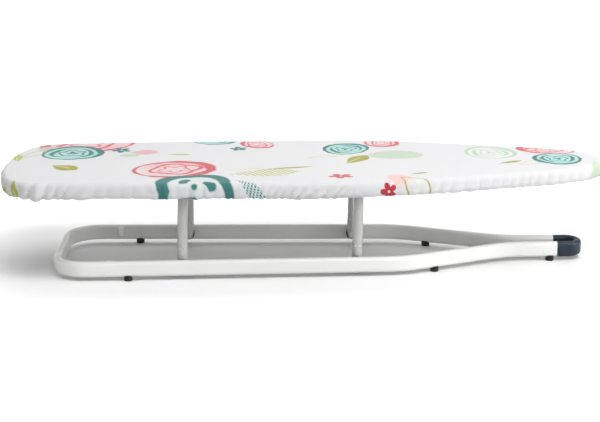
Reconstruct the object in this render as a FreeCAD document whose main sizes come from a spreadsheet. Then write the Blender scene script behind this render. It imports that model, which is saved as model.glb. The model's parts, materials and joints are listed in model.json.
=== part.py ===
import FreeCAD, Part
import math
import os
import Sketcher

# Table-top folding ironing board, millimetres.
# +X runs along the board to its nose, +Y to the far side, +Z up.
# The origin is on the floor, under the middle of the board.
# The board is drawn open, standing on its two tube legs, which lean a little
# past upright towards the nose and rest there on their stops.

DOCUMENT = FreeCAD.newDocument("ironing_board")
SHEET = DOCUMENT.addObject("Spreadsheet::Sheet", "Sizes")

SIZES = [
    # the ironing surface, over the cover
    ("board_length", 950.0, "overall length over the cover"),
    ("board_width", 300.0, "overall width over the cover"),
    ("back_flat_half", 48.0, "half the straight part of the back edge"),
    ("back_flat_radius", 250.0, "soft bend at each end of that straight part"),
    ("back_corner_inset", 26.0, "back corner, in from the back edge"),
    ("back_corner_narrow", 11.0, "back corner, in from the full width"),
    ("back_corner_radius", 70.0, "rounding of the back corner"),
    ("full_width_from_back", 245.0, "where the full width starts"),
    ("full_width_from_nose", 475.0, "where the full width ends"),
    ("full_width_radius", 1500.0, "soft bend at both ends of the full width"),
    ("taper_from_nose", 325.0, "where the taper starts"),
    ("taper_narrow", 6.5, "taper start, in from the full width"),
    ("taper_radius", 500.0, "bend at the taper's start"),
    ("shoulder_from_nose", 90.0, "where the taper ends"),
    ("shoulder_half", 82.0, "half width where the taper ends"),
    ("shoulder_radius", 300.0, "bend at the taper's end"),
    ("cheek_from_nose", 28.0, "side of the nose, in from the tip"),
    ("cheek_half", 55.0, "half width at the side of the nose"),
    ("cheek_radius", 90.0, "bend at the side of the nose"),
    ("tip_half", 16.0, "half width of the blunt tip"),
    ("tip_radius", 45.0, "rounding of the tip"),
    # the layers of the top, from the steel upwards
    ("cloth_thickness", 1.5, "cotton cover with its turned edge"),
    ("pad_thickness", 7.9, "foam pad under the cover"),
    ("mesh_thickness", 0.6, "perforated steel top"),
    ("slot_length", 46.0, "vent slot in the steel top"),
    ("slot_width", 9.0, "width of a vent slot"),
    ("slot_pitch_x", 62.0, "spacing of the slots along the board"),
    ("slot_pitch_y", 30.0, "spacing of the slots across the board"),
    ("edge_rounding", 7.0, "rounding of the cover over the rim"),
    ("hem_return", 24.0, "cover turned under the rim"),
    ("elastic_width", 6.0, "flat elastic in the turned edge"),
    ("elastic_thickness", 1.0, "thickness of the elastic"),
    ("elastic_gap", 1.2, "elastic to rim tube"),
    ("rim_diameter", 12.0, "tube round the steel top"),
    ("rim_wall", 0.9, "wall of the rim tube"),
    # base loop
    ("tube_height", 25.0, "flat-oval base tube, height"),
    ("tube_width", 12.0, "flat-oval base tube, width"),
    ("tube_wall", 1.1, "wall of the base tube"),
    ("foot_height", 6.0, "floor to underside of the base tube"),
    ("base_back", 391.0, "back run of the loop, behind the middle"),
    ("base_back_half", 106.6, "half width of the loop at the back"),
    ("base_corner_radius", 50.0, "back corners of the loop"),
    ("base_taper_x", 151.5, "where the loop draws in"),
    ("base_taper_half", 91.1, "half width of the loop there"),
    ("base_neck_x", 322.5, "where the two tubes run side by side"),
    ("base_bend_radius", 150.0, "four long bends of the loop"),
    ("base_nose_half", 18.5, "half spacing of the parallel tube ends"),
    ("base_end_x", 403.0, "cut ends of the tube"),
    # end cap
    ("cap_straight", 18.0, "straight part of the cap before its bend"),
    ("spigot_length", 24.0, "plug of the cap inside the tube"),
    ("spigot_clearance", 0.15, "plug to tube, all round"),
    # legs
    ("leg_diameter", 16.0, "round leg tube"),
    ("leg_wall", 1.1, "wall of the leg tube"),
    ("leg_length", 107.0, "lower pivot to upper pivot"),
    ("leg_bend_radius", 28.0, "upper corners of a leg"),
    ("leg_lean", 1.5, "degrees past upright, towards the nose"),
    ("rear_pivot_x", -193.0, "lower pivot of the rear leg"),
    ("front_pivot_x", 78.5, "lower pivot of the front leg"),
    ("pivot_z", 21.0, "height of the lower pivots"),
    ("pin_diameter", 6.0, "pivot pin"),
    ("pin_head_diameter", 9.0, "head of the pivot pin"),
    ("pin_head_height", 0.8, "inner head of the pin"),
    ("pin_tail_height", 1.6, "closing head inside the base tube"),
    ("running_clearance", 0.06, "radial, for what turns on a pin or bar"),
    ("washer_diameter", 17.0, "nylon washer between leg and base tube"),
    ("washer_thickness", 2.2, "thickness of that washer"),
    ("washer_gap", 0.35, "washer to base tube"),
    ("plug_depth", 30.0, "nylon plug up inside the leg"),
    ("plug_rim", 1.2, "rim of the plug outside the leg's end"),
    ("plug_rim_width", 13.0, "width of the rim across the leg"),
    ("cross_pin_diameter", 2.6, "small pins that hold the plug"),
    ("cross_pin_spacing", 7.6, "spacing of the two small pins"),
    ("cross_pin_rise", 25.0, "small pins above the pivot"),
    ("cross_pin_proud", 0.4, "small pins out of the leg at each end"),
    ("pin_head_bevel", 0.8, "bevel of the pin's inner head"),
    ("pin_tail_gap", 0.3, "closing head to the tube's wall"),
    ("pin_tail_narrow", 0.5, "closing head, smaller than the inner head"),
    ("fixed_clearance", 0.02, "radial, for what doesn't turn in its hole"),
    ("plug_clearance", 0.1, "plug to the leg's bore, radial"),
    # upper bearings, under the steel top
    ("rail_gap", 6.0, "leg's cross bar to the cross rail"),
    ("rail_width", 46.0, "cross rail, along the board"),
    ("rail_height", 12.0, "cross rail, height"),
    ("rail_wall", 0.9, "wall of the cross rail"),
    ("rail_end_gap", 20.5, "cross rail's end to the rim tube"),
    ("bearing_y", 36.0, "bearings, out from the middle"),
    ("bearing_width", 18.0, "nylon bearing block, across the board"),
    ("bearing_half", 10.0, "half width of the block, along the board"),
    ("open_pivot_clearance", 0.35, "front leg in its bearings, radial"),
    ("strap_thickness", 2.0, "steel strap round the block"),
    ("strap_width", 16.0, "width of the strap"),
    ("strap_gap", 0.05, "strap to block"),
    ("strap_foot", 9.0, "foot of the strap under the rail"),
    ("rivet_diameter", 4.0, "rivet through the strap's foot"),
    ("rivet_head", 7.0, "head of that rivet"),
    ("rivet_head_height", 1.8, "height of that head"),
    ("stop_reach", 17.0, "stop lug, out from the bar's centre"),
    ("stop_width", 8.0, "stop lug, across the board"),
    ("stop_gap", 0.3, "stop lug to rail"),
    ("stop_slope", 5.0, "height of the lug at its tip"),
    ("stop_seat", 1.5, "lug over the cross bar"),
    ("rivet_head_bevel", 1.2, "bevel of the rivet's head"),
    ("rivet_tail", 1.5, "rivet inside the rail"),
    ("bend_ease", 0.05, "straight kept between two round corners"),
    # feet
    ("foot_diameter", 13.0, "rubber foot"),
    ("foot_overlap", 2.6, "foot up round the tube"),
    ("foot_stem_diameter", 5.6, "stem of the foot in the tube"),
    ("foot_hole_clearance", 0.1, "stem in its hole, radial"),
    ("foot_barb_diameter", 6.8, "barb above the tube's wall"),
    ("foot_barb_rise", 1.6, "barb above the inside of the tube's wall"),
    ("foot_barb_height", 2.2, "height of the barb"),
    ("foot_barb_step", 0.3, "underside of the barb"),
    ("foot_barb_bevel", 1.2, "barb, narrower at its top"),
    ("stem_hole_clearance", 0.3, "barb in the cap's plug, all round"),
    ("foot_rear_x", -276.0, "rear pair of feet"),
    ("foot_middle_x", 201.0, "middle pair of feet"),
    ("foot_nose_x", 392.0, "pair of feet at the tube ends"),
    # storage clips on the inner walls of the loop
    ("clip_x", -306.5, "storage clips"),
    ("clip_z", 21.5, "middle of the clips"),
    ("clip_height", 15.0, "clip, height"),
    ("clip_width", 9.0, "clip, width at its top"),
    ("clip_taper", 1.6, "clip, narrower at its foot on each side"),
    ("clip_depth", 5.0, "clip, out from the wall"),
    ("clip_lip", 2.4, "hooked lip of the clip"),
    ("clip_ear", 1.2, "small ear beside the lip"),
    ("clip_wall", 1.5, "wall of the clip's hook"),
    ("clip_peg_diameter", 4.0, "peg of the clip in the tube"),
    ("clip_peg_clearance", 0.2, "peg in its hole, radial"),
]

for row, (alias, number, note) in enumerate(SIZES, start=1):
    SHEET.set(f"A{row}", alias)
    SHEET.set(f"B{row}", str(number))
    SHEET.set(f"C{row}", note)
    SHEET.setAlias(f"B{row}", alias)
DOCUMENT.recompute()


class Size:
    """A size that is both a number and a formula over the spreadsheet's cells."""

    def __init__(self, number, text=None):
        self.number = float(number)
        self.text = text if text is not None else repr(float(number))

    def joined(self, sign, other, number):
        return Size(number, f"({self.text} {sign} {as_size(other).text})")

    def __add__(self, other):
        return self.joined("+", other, self.number + as_size(other).number)

    def __sub__(self, other):
        return self.joined("-", other, self.number - as_size(other).number)

    def __mul__(self, other):
        return self.joined("*", other, self.number * as_size(other).number)

    def __truediv__(self, other):
        return self.joined("/", other, self.number / as_size(other).number)

    def __neg__(self):
        return Size(-self.number, f"(-1 * {self.text})")

    def called(self, function, number):
        return Size(number, f"{function}({self.text})")

    def sine(self):
        return self.called("sin", math.sin(math.radians(self.number)))

    def cosine(self):
        return self.called("cos", math.cos(math.radians(self.number)))

    def slope_angle(self):
        return Size(math.degrees(math.atan(self.number)), f"(atan({self.text}) / 1 deg)")


def as_size(value):
    return value if isinstance(value, Size) else Size(value)


def cell(alias):
    return Size(SHEET.get(alias), f"Sizes.{alias}")


ZERO = Size(0.0)
PAST = 1.0  # how far a cut starts or runs past the face that it cuts
WELL_PAST = 6.0


def bind(target, path, size):
    """Sets a property of an object from the spreadsheet."""
    target.setExpression(path, as_size(size).text)


def put(target, x=ZERO, y=ZERO, z=ZERO, axis=(0, 0, 1), angle=ZERO):
    """Places an object, with its place and its turn bound to the spreadsheet."""
    turn = FreeCAD.Rotation(FreeCAD.Vector(*axis), as_size(angle).number)
    place = FreeCAD.Vector(as_size(x).number, as_size(y).number, as_size(z).number)
    target.Placement = FreeCAD.Placement(place, turn)
    bind(target, "Placement.Base.x", x)
    bind(target, "Placement.Base.y", y)
    bind(target, "Placement.Base.z", z)
    if abs(as_size(angle).number) > 1e-9:
        bind(target, "Placement.Rotation.Angle", angle)


# ---------------------------------------------------------------- sketches

def origin_plane(body, role):
    return next(item for item in body.Origin.OriginFeatures if item.Role == role)


def sketch_on(body, name, role, offset=None):
    """A sketch on one of the body's own origin planes, moved along its normal."""
    sketch = body.newObject("Sketcher::SketchObject", name)
    sketch.AttachmentSupport = [(origin_plane(body, role), "")]
    sketch.MapMode = "FlatFace"
    if offset is not None:
        bind(sketch, "AttachmentOffset.Base.z", offset)
    return sketch


def hold(sketch, kind, *arguments):
    """Adds a dimension whose last argument is a Size, and binds it."""
    size = as_size(arguments[-1])
    index = sketch.addConstraint(Sketcher.Constraint(kind, *arguments[:-1], size.number))
    name = f"size_{index}"
    sketch.renameConstraint(index, name)
    bind(sketch, f"Constraints.{name}", size)


def hold_point(sketch, geometry, position, x, y):
    hold(sketch, "DistanceX", -1, 1, geometry, position, x)
    hold(sketch, "DistanceY", -1, 1, geometry, position, y)


def flat(x, y):
    return FreeCAD.Vector(as_size(x).number, as_size(y).number, 0.0)


def circle(sketch, x, y, radius):
    shape = Part.Circle(flat(x, y), FreeCAD.Vector(0, 0, 1), as_size(radius).number)
    index = sketch.addGeometry(shape, False)
    hold_point(sketch, index, 3, x, y)
    hold(sketch, "Radius", index, radius)


def corner_path(sketch, corners, closed):
    """Straight lines through corner points, with an arc at each that has a radius.

    corners is a list of (x, y, radius), where the radius may be None.
    """
    points = [flat(x, y) for x, y, radius in corners]
    count = len(corners)
    starts = list(points)
    ends = list(points)
    arcs = {}
    for index, (x, y, radius) in enumerate(corners):
        if radius is None:
            continue
        before = (points[index - 1] - points[index]).normalize()
        after = (points[(index + 1) % count] - points[index]).normalize()
        half = before.getAngle(after) / 2.0
        reach = as_size(radius).number / math.tan(half)
        ends[index] = points[index] + before * reach
        starts[index] = points[index] + after * reach
        middle_way = (before + after).normalize()
        centre = points[index] + middle_way * (as_size(radius).number / math.sin(half))
        middle = centre - middle_way * as_size(radius).number
        arcs[index] = Part.Arc(ends[index], middle, starts[index])
    last = count if closed else count - 1
    lines = {}
    for index in range(last):
        following = (index + 1) % count
        lines[index] = sketch.addGeometry(Part.LineSegment(starts[index], ends[following]), False)
    for index in range(count):
        x, y, radius = corners[index]
        line_in = lines.get((index - 1) % count) if (closed or index > 0) else None
        line_out = lines.get(index)
        if radius is None:
            if line_in is not None and line_out is not None:
                sketch.addConstraint(Sketcher.Constraint("Coincident", line_in, 2, line_out, 1))
            if line_out is not None:
                hold_point(sketch, line_out, 1, x, y)
            else:
                hold_point(sketch, line_in, 2, x, y)
            continue
        arc = sketch.addGeometry(arcs[index], False)
        corner = sketch.addGeometry(Part.Point(points[index]), True)
        first_end = sketch.getPoint(arc, 1)
        near_in = first_end.distanceToPoint(ends[index]) < 1e-6
        in_end, out_end = (1, 2) if near_in else (2, 1)
        sketch.addConstraint(Sketcher.Constraint("Tangent", line_in, 2, arc, in_end))
        sketch.addConstraint(Sketcher.Constraint("Tangent", arc, out_end, line_out, 1))
        sketch.addConstraint(Sketcher.Constraint("PointOnObject", corner, 1, line_in))
        sketch.addConstraint(Sketcher.Constraint("PointOnObject", corner, 1, line_out))
        hold_point(sketch, corner, 1, x, y)
        hold(sketch, "Radius", arc, radius)


def flat_oval(sketch, x, y, width, height):
    """Two half circles above each other, joined by two upright lines."""
    radius = as_size(width) / 2
    rise = as_size(height) / 2 - radius
    top = as_size(y) + rise
    bottom = as_size(y) - rise
    left = as_size(x) - radius
    right = as_size(x) + radius
    peak = top + radius
    foot = bottom - radius
    upper = sketch.addGeometry(Part.Arc(flat(right, top), flat(x, peak), flat(left, top)), False)
    lower = sketch.addGeometry(Part.Arc(flat(left, bottom), flat(x, foot), flat(right, bottom)), False)
    left_line = sketch.addGeometry(Part.LineSegment(flat(left, top), flat(left, bottom)), False)
    right_line = sketch.addGeometry(Part.LineSegment(flat(right, bottom), flat(right, top)), False)
    sketch.addConstraint(Sketcher.Constraint("Tangent", upper, 2, left_line, 1))
    sketch.addConstraint(Sketcher.Constraint("Tangent", left_line, 2, lower, 1))
    sketch.addConstraint(Sketcher.Constraint("Tangent", lower, 2, right_line, 1))
    sketch.addConstraint(Sketcher.Constraint("Tangent", right_line, 2, upper, 1))
    sketch.addConstraint(Sketcher.Constraint("Equal", upper, lower))
    hold_point(sketch, upper, 3, x, top)
    hold_point(sketch, lower, 3, x, bottom)
    hold(sketch, "Radius", upper, radius)


# ---------------------------------------------------------------- features

def new_body(label):
    body = DOCUMENT.addObject("PartDesign::Body", label)
    body.Label = label
    return body


def pad(body, sketch, length, symmetric=False, back=False):
    feature = body.newObject("PartDesign::Pad", f"{sketch.Name}_pad")
    feature.Profile = sketch
    feature.SideType = "Symmetric" if symmetric else "One side"
    feature.Reversed = back
    bind(feature, "Length", length)
    return feature


def pocket(body, sketch, length, symmetric=False, back=False):
    """Cuts, and makes sure that the cut took something away."""
    DOCUMENT.recompute()
    volume = body.Shape.Volume
    feature = body.newObject("PartDesign::Pocket", f"{sketch.Name}_pocket")
    feature.Profile = sketch
    feature.SideType = "Symmetric" if symmetric else "One side"
    feature.Reversed = back
    bind(feature, "Length", length)
    DOCUMENT.recompute()
    if body.Shape.Volume > volume - 1e-3:
        raise RuntimeError(f"{feature.Name} cuts nothing")
    return feature


def pipe(body, profile, spine):
    feature = body.newObject("PartDesign::AdditivePipe", f"{spine.Name}_pipe")
    DOCUMENT.recompute()
    feature.Profile = profile
    feature.Spine = (spine, [f"Edge{number + 1}" for number in range(len(spine.Shape.Edges))])
    DOCUMENT.recompute()
    return feature


def turned(body, sketch):
    """Turns a sketch on the XZ plane about the body's own Z axis."""
    feature = body.newObject("PartDesign::Revolution", f"{sketch.Name}_turned")
    feature.Profile = sketch
    feature.ReferenceAxis = (sketch, ["V_Axis"])
    feature.Angle = 360.0
    return feature


# ---------------------------------------------------------------- shared places

half_length = cell("board_length") / 2
half_width = cell("board_width") / 2
tube_middle_z = cell("foot_height") + cell("tube_height") / 2
lean = cell("leg_lean")
upper_pivot_z = cell("pivot_z") + cell("leg_length") * lean.cosine()
rail_bottom_z = upper_pivot_z + cell("leg_diameter") / 2 + cell("rail_gap")
mesh_bottom_z = rail_bottom_z + cell("rail_height")
pad_bottom_z = mesh_bottom_z + cell("mesh_thickness")
pad_top_z = pad_bottom_z + cell("pad_thickness")
cover_top_z = pad_top_z + cell("cloth_thickness")
rim_bottom_z = mesh_bottom_z - cell("rim_diameter")
hem_bottom_z = rim_bottom_z - cell("cloth_thickness")


side_slope = (cell("base_taper_half") - cell("base_back_half")) / (cell("base_taper_x") + cell("base_back"))


def side_run_y(x):
    """Centre line of the base tube's long side at a place along the board."""
    back_x = -cell("base_back")
    along = (x - back_x) / (cell("base_taper_x") - back_x)
    return cell("base_back_half") + (cell("base_taper_half") - cell("base_back_half")) * along


def drawn_in_y(x):
    """Centre line of the base tube where it draws in towards the nose."""
    along = (x - cell("base_taper_x")) / (cell("base_neck_x") - cell("base_taper_x"))
    return cell("base_taper_half") + (cell("base_nose_half") - cell("base_taper_half")) * along


def inner_wall_y(x):
    """Inner face of the base tube's long side, which runs at a slight slope."""
    return side_run_y(x) - cell("tube_width") / 2 / side_slope.slope_angle().cosine()


def upper_pivot_x(pivot_x):
    return pivot_x + cell("leg_length") * lean.sine()


def leg_half(pivot_x):
    """Centre of a leg's arm, out from the middle, from the tube wall inwards."""
    return inner_wall_y(pivot_x) - cell("washer_gap") - cell("washer_thickness") - cell("leg_diameter") / 2


# ---------------------------------------------------------------- base loop

drawn_length = cell("base_neck_x") - cell("base_taper_x")
drawn_slope = (cell("base_nose_half") - cell("base_taper_half")) / drawn_length
FOOT_PLACES = [
    ("rear", cell("foot_rear_x"), side_run_y(cell("foot_rear_x")), side_slope),
    ("middle", cell("foot_middle_x"), drawn_in_y(cell("foot_middle_x")), drawn_slope),
    ("nose", cell("foot_nose_x"), cell("base_nose_half"), ZERO),
]
PIVOTS = [("rear", cell("rear_pivot_x")), ("front", cell("front_pivot_x"))]
SIDES = [("near", -1.0), ("far", 1.0)]


def base_corners(side):
    """The corners of half of the loop, from the tube's end to the back."""
    return [
        (cell("base_end_x"), cell("base_nose_half") * side, None),
        (cell("base_neck_x"), cell("base_nose_half") * side, cell("base_bend_radius")),
        (cell("base_taper_x"), cell("base_taper_half") * side, cell("base_bend_radius")),
        (-cell("base_back"), cell("base_back_half") * side, cell("base_corner_radius")),
    ]


def make_base_tube():
    body = new_body("base_tube")
    spine = sketch_on(body, "base_spine", "XY_Plane", tube_middle_z)
    near_half = base_corners(-1.0)
    far_half = base_corners(1.0)
    corner_path(spine, near_half + far_half[::-1], closed=False)
    profile = sketch_on(body, "base_section", "YZ_Plane", cell("base_end_x"))
    start_y = -cell("base_nose_half")
    bore_width = cell("tube_width") - cell("tube_wall") * 2
    bore_height = cell("tube_height") - cell("tube_wall") * 2
    flat_oval(profile, start_y, tube_middle_z, cell("tube_width"), cell("tube_height"))
    flat_oval(profile, start_y, tube_middle_z, bore_width, bore_height)
    pipe(body, profile, spine)
    hole_radius = cell("foot_stem_diameter") / 2 + cell("foot_hole_clearance")
    foot_holes = sketch_on(body, "foot_holes", "XY_Plane", cell("foot_height") - PAST)
    for name, x, y, slope in FOOT_PLACES:
        for side_name, side in SIDES:
            circle(foot_holes, x, y * side, hole_radius)
    pocket(body, foot_holes, cell("tube_wall") + PAST * 2.5, back=True)
    pin_radius = cell("pin_diameter") / 2 + cell("running_clearance")
    for name, pivot_x in PIVOTS:
        pin_holes = sketch_on(body, f"{name}_pin_holes", "XZ_Plane")
        circle(pin_holes, pivot_x, cell("pivot_z"), pin_radius)
        pocket(body, pin_holes, side_run_y(pivot_x) * 2, symmetric=True)
    peg_holes = sketch_on(body, "peg_holes", "XZ_Plane")
    peg_radius = cell("clip_peg_diameter") / 2 + cell("clip_peg_clearance")
    circle(peg_holes, cell("clip_x"), cell("clip_z"), peg_radius)
    pocket(body, peg_holes, side_run_y(cell("clip_x")) * 2, symmetric=True)
    return body


def make_end_cap():
    """Moulded loop that joins the two tube ends and hangs the board from a hook."""
    body = new_body("end_cap")
    end_x = cell("base_end_x")
    half = cell("base_nose_half")
    outer_x = end_x + cell("cap_straight") + half
    spine = sketch_on(body, "cap_spine", "XY_Plane", tube_middle_z)
    corner_path(spine, [
        (end_x, -half, None),
        (outer_x, -half, half - cell("bend_ease")),
        (outer_x, half, half - cell("bend_ease")),
        (end_x, half, None),
    ], closed=False)
    profile = sketch_on(body, "cap_section", "YZ_Plane", end_x)
    flat_oval(profile, -half, tube_middle_z, cell("tube_width"), cell("tube_height"))
    pipe(body, profile, spine)
    less = (cell("tube_wall") + cell("spigot_clearance")) * 2
    for side_name, side in SIDES:
        plug = sketch_on(body, f"{side_name}_spigot", "YZ_Plane", end_x)
        flat_oval(plug, half * side, tube_middle_z, cell("tube_width") - less, cell("tube_height") - less)
        pad(body, plug, cell("spigot_length"), back=True)
    stem_holes = sketch_on(body, "stem_holes", "XY_Plane", cell("foot_height"))
    barb_hole_radius = cell("foot_barb_diameter") / 2 + cell("stem_hole_clearance")
    for side_name, side in SIDES:
        circle(stem_holes, cell("foot_nose_x"), half * side, barb_hole_radius)
    depth = foot_stem_top_z() - cell("foot_height") + cell("stem_hole_clearance")
    pocket(body, stem_holes, depth, back=True)
    return body


def foot_barb_z():
    return cell("foot_height") + cell("tube_wall") + cell("foot_barb_rise")


def foot_stem_top_z():
    return foot_barb_z() + cell("foot_barb_height")


def make_foot(label, x, y, slope):
    """Rubber foot whose stem snaps into the tube's underside."""
    body = new_body(label)
    head = sketch_on(body, f"{label}_head", "XY_Plane")
    circle(head, ZERO, ZERO, cell("foot_diameter") / 2)
    pad(body, head, cell("foot_height") + cell("foot_overlap"))
    saddle = sketch_on(body, f"{label}_saddle", "YZ_Plane")
    circle(saddle, ZERO, cell("foot_height") + cell("tube_width") / 2, cell("tube_width") / 2)
    pocket(body, saddle, cell("foot_diameter") * 2, symmetric=True)
    stem = sketch_on(body, f"{label}_stem", "XZ_Plane")
    barb = cell("foot_barb_diameter") / 2
    radius = cell("foot_stem_diameter") / 2
    root_z = cell("foot_height") - PAST
    corner_path(stem, [
        (ZERO, root_z, None),
        (radius, root_z, None),
        (radius, foot_barb_z(), None),
        (barb, foot_barb_z() + cell("foot_barb_step"), None),
        (barb - cell("foot_barb_bevel"), foot_stem_top_z(), None),
        (ZERO, foot_stem_top_z(), None),
    ], closed=True)
    turned(body, stem)
    put(body, x, y, ZERO, (0, 0, 1), slope.slope_angle())
    return body


def make_clip(label, side):
    """White catch on the inner wall that holds the folded frame for storage."""
    body = new_body(label)
    plate = sketch_on(body, f"{label}_plate", "XZ_Plane")
    half = cell("clip_width") / 2
    foot_half = half - cell("clip_taper")
    rise = cell("clip_height") / 2
    lip_z = rise - cell("clip_lip")
    ear = half + cell("clip_ear")
    corner_path(plate, [
        (-foot_half * side, -rise, None),
        (foot_half * side, -rise, None),
        (half * side, rise, None),
        (-ear * side, rise, None),
        (-ear * side, lip_z, None),
        (-half * side, lip_z, None),
    ], closed=True)
    pad(body, plate, cell("clip_depth"))
    mouth = sketch_on(body, f"{label}_mouth", "YZ_Plane")
    wall = cell("clip_wall")
    corner_path(mouth, [
        (wall - cell("clip_depth"), wall * 2 - rise, None),
        (-wall, wall * 2 - rise, None),
        (-wall, lip_z, None),
        (wall - cell("clip_depth"), lip_z, None),
    ], closed=True)
    pocket(body, mouth, cell("clip_width") * 3, symmetric=True)
    peg = sketch_on(body, f"{label}_peg", "XZ_Plane")
    circle(peg, ZERO, ZERO, cell("clip_peg_diameter") / 2)
    pad(body, peg, cell("tube_wall") * 3, back=True)
    wall_y = inner_wall_y(cell("clip_x"))
    turn = side_slope.slope_angle() if side > 0 else Size(180.0) - side_slope.slope_angle()
    put(body, cell("clip_x"), wall_y * side, cell("clip_z"), (0, 0, 1), turn)
    return body


# ---------------------------------------------------------------- legs

def place_on_leg(body, pivot_x):
    put(body, pivot_x, ZERO, cell("pivot_z"), (0, 1, 0), lean)


def make_leg(label, pivot_x):
    """U-shaped tube, drawn upright about its lower pivot."""
    body = new_body(label)
    half = leg_half(pivot_x)
    radius = cell("leg_diameter") / 2
    foot_z = -radius
    spine = sketch_on(body, f"{label}_spine", "YZ_Plane")
    corner_path(spine, [
        (-half, foot_z, None),
        (-half, cell("leg_length"), cell("leg_bend_radius")),
        (half, cell("leg_length"), cell("leg_bend_radius")),
        (half, foot_z, None),
    ], closed=False)
    profile = sketch_on(body, f"{label}_section", "XY_Plane", foot_z)
    circle(profile, ZERO, -half, radius)
    circle(profile, ZERO, -half, radius - cell("leg_wall"))
    pipe(body, profile, spine)
    ends = sketch_on(body, f"{label}_round_ends", "XZ_Plane")
    half_ring(ends, radius, radius + WELL_PAST)
    pocket(body, ends, half * 4, symmetric=True)
    holes = sketch_on(body, f"{label}_pin_holes", "XZ_Plane")
    circle(holes, ZERO, ZERO, cell("pin_diameter") / 2 + cell("fixed_clearance"))
    for side_name, side in SIDES:
        x = cell("cross_pin_spacing") / 2 * side
        circle(holes, x, cell("cross_pin_rise"), cell("cross_pin_diameter") / 2)
    pocket(body, holes, half * 4, symmetric=True)
    place_on_leg(body, pivot_x)
    return body


def half_ring(sketch, inner, outer):
    """Lower half of a ring about the sketch's origin."""
    inner = as_size(inner)
    outer = as_size(outer)
    big = sketch.addGeometry(Part.Arc(flat(-outer, 0), flat(0, -outer), flat(outer, 0)), False)
    small = sketch.addGeometry(Part.Arc(flat(-inner, 0), flat(0, -inner), flat(inner, 0)), False)
    left = sketch.addGeometry(Part.LineSegment(flat(-outer, 0), flat(-inner, 0)), False)
    right = sketch.addGeometry(Part.LineSegment(flat(inner, 0), flat(outer, 0)), False)
    for line, arc_end in ((left, 1), (right, 2)):
        sketch.addConstraint(Sketcher.Constraint("Horizontal", line))
        big_line_end = 1 if line == left else 2
        sketch.addConstraint(Sketcher.Constraint("Coincident", line, big_line_end, big, arc_end))
        sketch.addConstraint(Sketcher.Constraint("Coincident", line, 3 - big_line_end, small, arc_end))
    hold_point(sketch, big, 3, ZERO, ZERO)
    sketch.addConstraint(Sketcher.Constraint("Coincident", big, 3, small, 3))
    sketch.addConstraint(Sketcher.Constraint("PointOnObject", big, 1, -1))
    hold(sketch, "Radius", big, outer)
    hold(sketch, "Radius", small, inner)


def make_leg_plug(label, pivot_x, side):
    """Nylon plug in a leg's lower end, with a thin rim round the end."""
    body = new_body(label)
    radius = cell("leg_diameter") / 2
    rim_radius = radius + cell("plug_rim")
    y = leg_half(pivot_x) * side
    stem = sketch_on(body, f"{label}_stem", "XY_Plane", -rim_radius)
    circle(stem, ZERO, y, radius - cell("leg_wall") - cell("plug_clearance"))
    pad(body, stem, rim_radius + cell("plug_depth"))
    trim = sketch_on(body, f"{label}_trim", "XZ_Plane")
    half_ring(trim, rim_radius - cell("fixed_clearance"), rim_radius + WELL_PAST)
    pocket(body, trim, cell("board_width") * 2, symmetric=True)
    rim = sketch_on(body, f"{label}_rim", "XZ_Plane", -y - cell("plug_rim_width") / 2)
    half_ring(rim, radius + cell("fixed_clearance") * 2, rim_radius)
    pad(body, rim, cell("plug_rim_width"))
    holes = sketch_on(body, f"{label}_holes", "XZ_Plane")
    circle(holes, ZERO, ZERO, cell("pin_diameter") / 2 + cell("fixed_clearance"))
    for side_name, pin_side in SIDES:
        x = cell("cross_pin_spacing") / 2 * pin_side
        circle(holes, x, cell("cross_pin_rise"), cell("cross_pin_diameter") / 2)
    pocket(body, holes, cell("board_width") * 2, symmetric=True)
    place_on_leg(body, pivot_x)
    return body


def make_pivot_pin(label, pivot_x, side):
    """Rivet through the leg, the washer and the inner wall of the base tube."""
    body = new_body(label)
    inner_y = leg_half(pivot_x) - cell("leg_diameter") / 2
    tail_y = inner_wall_y(pivot_x) + cell("tube_wall") + cell("pin_tail_gap")
    radius = cell("pin_diameter") / 2
    head = cell("pin_head_diameter") / 2
    start = inner_y - cell("pin_head_height")
    tail = head - cell("pin_tail_narrow")
    tail_end = tail_y + cell("pin_tail_height")
    profile = sketch_on(body, f"{label}_profile", "YZ_Plane")
    corner_path(profile, [
        (start, ZERO, None),
        (start, head - cell("pin_head_bevel"), None),
        (inner_y, head, None),
        (inner_y, radius, None),
        (tail_y, radius, None),
        (tail_y, tail, None),
        (tail_end, tail - cell("pin_head_bevel"), None),
        (tail_end, ZERO, None),
    ], closed=True)
    feature = body.newObject("PartDesign::Revolution", f"{label}_turned")
    feature.Profile = profile
    feature.ReferenceAxis = (profile, ["H_Axis"])
    feature.Angle = 360.0
    turn = lean if side > 0 else Size(180.0)
    axis = (0, 1, 0) if side > 0 else (0, 0, 1)
    put(body, pivot_x, ZERO, cell("pivot_z"), axis, turn)
    return body


def make_washer(label, pivot_x, side):
    body = new_body(label)
    outer_y = leg_half(pivot_x) + cell("leg_diameter") / 2
    if side > 0:
        offset = -outer_y - cell("washer_thickness")
    else:
        offset = outer_y
    ring = sketch_on(body, f"{label}_ring", "XZ_Plane", offset)
    circle(ring, ZERO, ZERO, cell("washer_diameter") / 2)
    circle(ring, ZERO, ZERO, cell("pin_diameter") / 2 + cell("running_clearance"))
    pad(body, ring, cell("washer_thickness"))
    place_on_leg(body, pivot_x)
    return body


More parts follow.
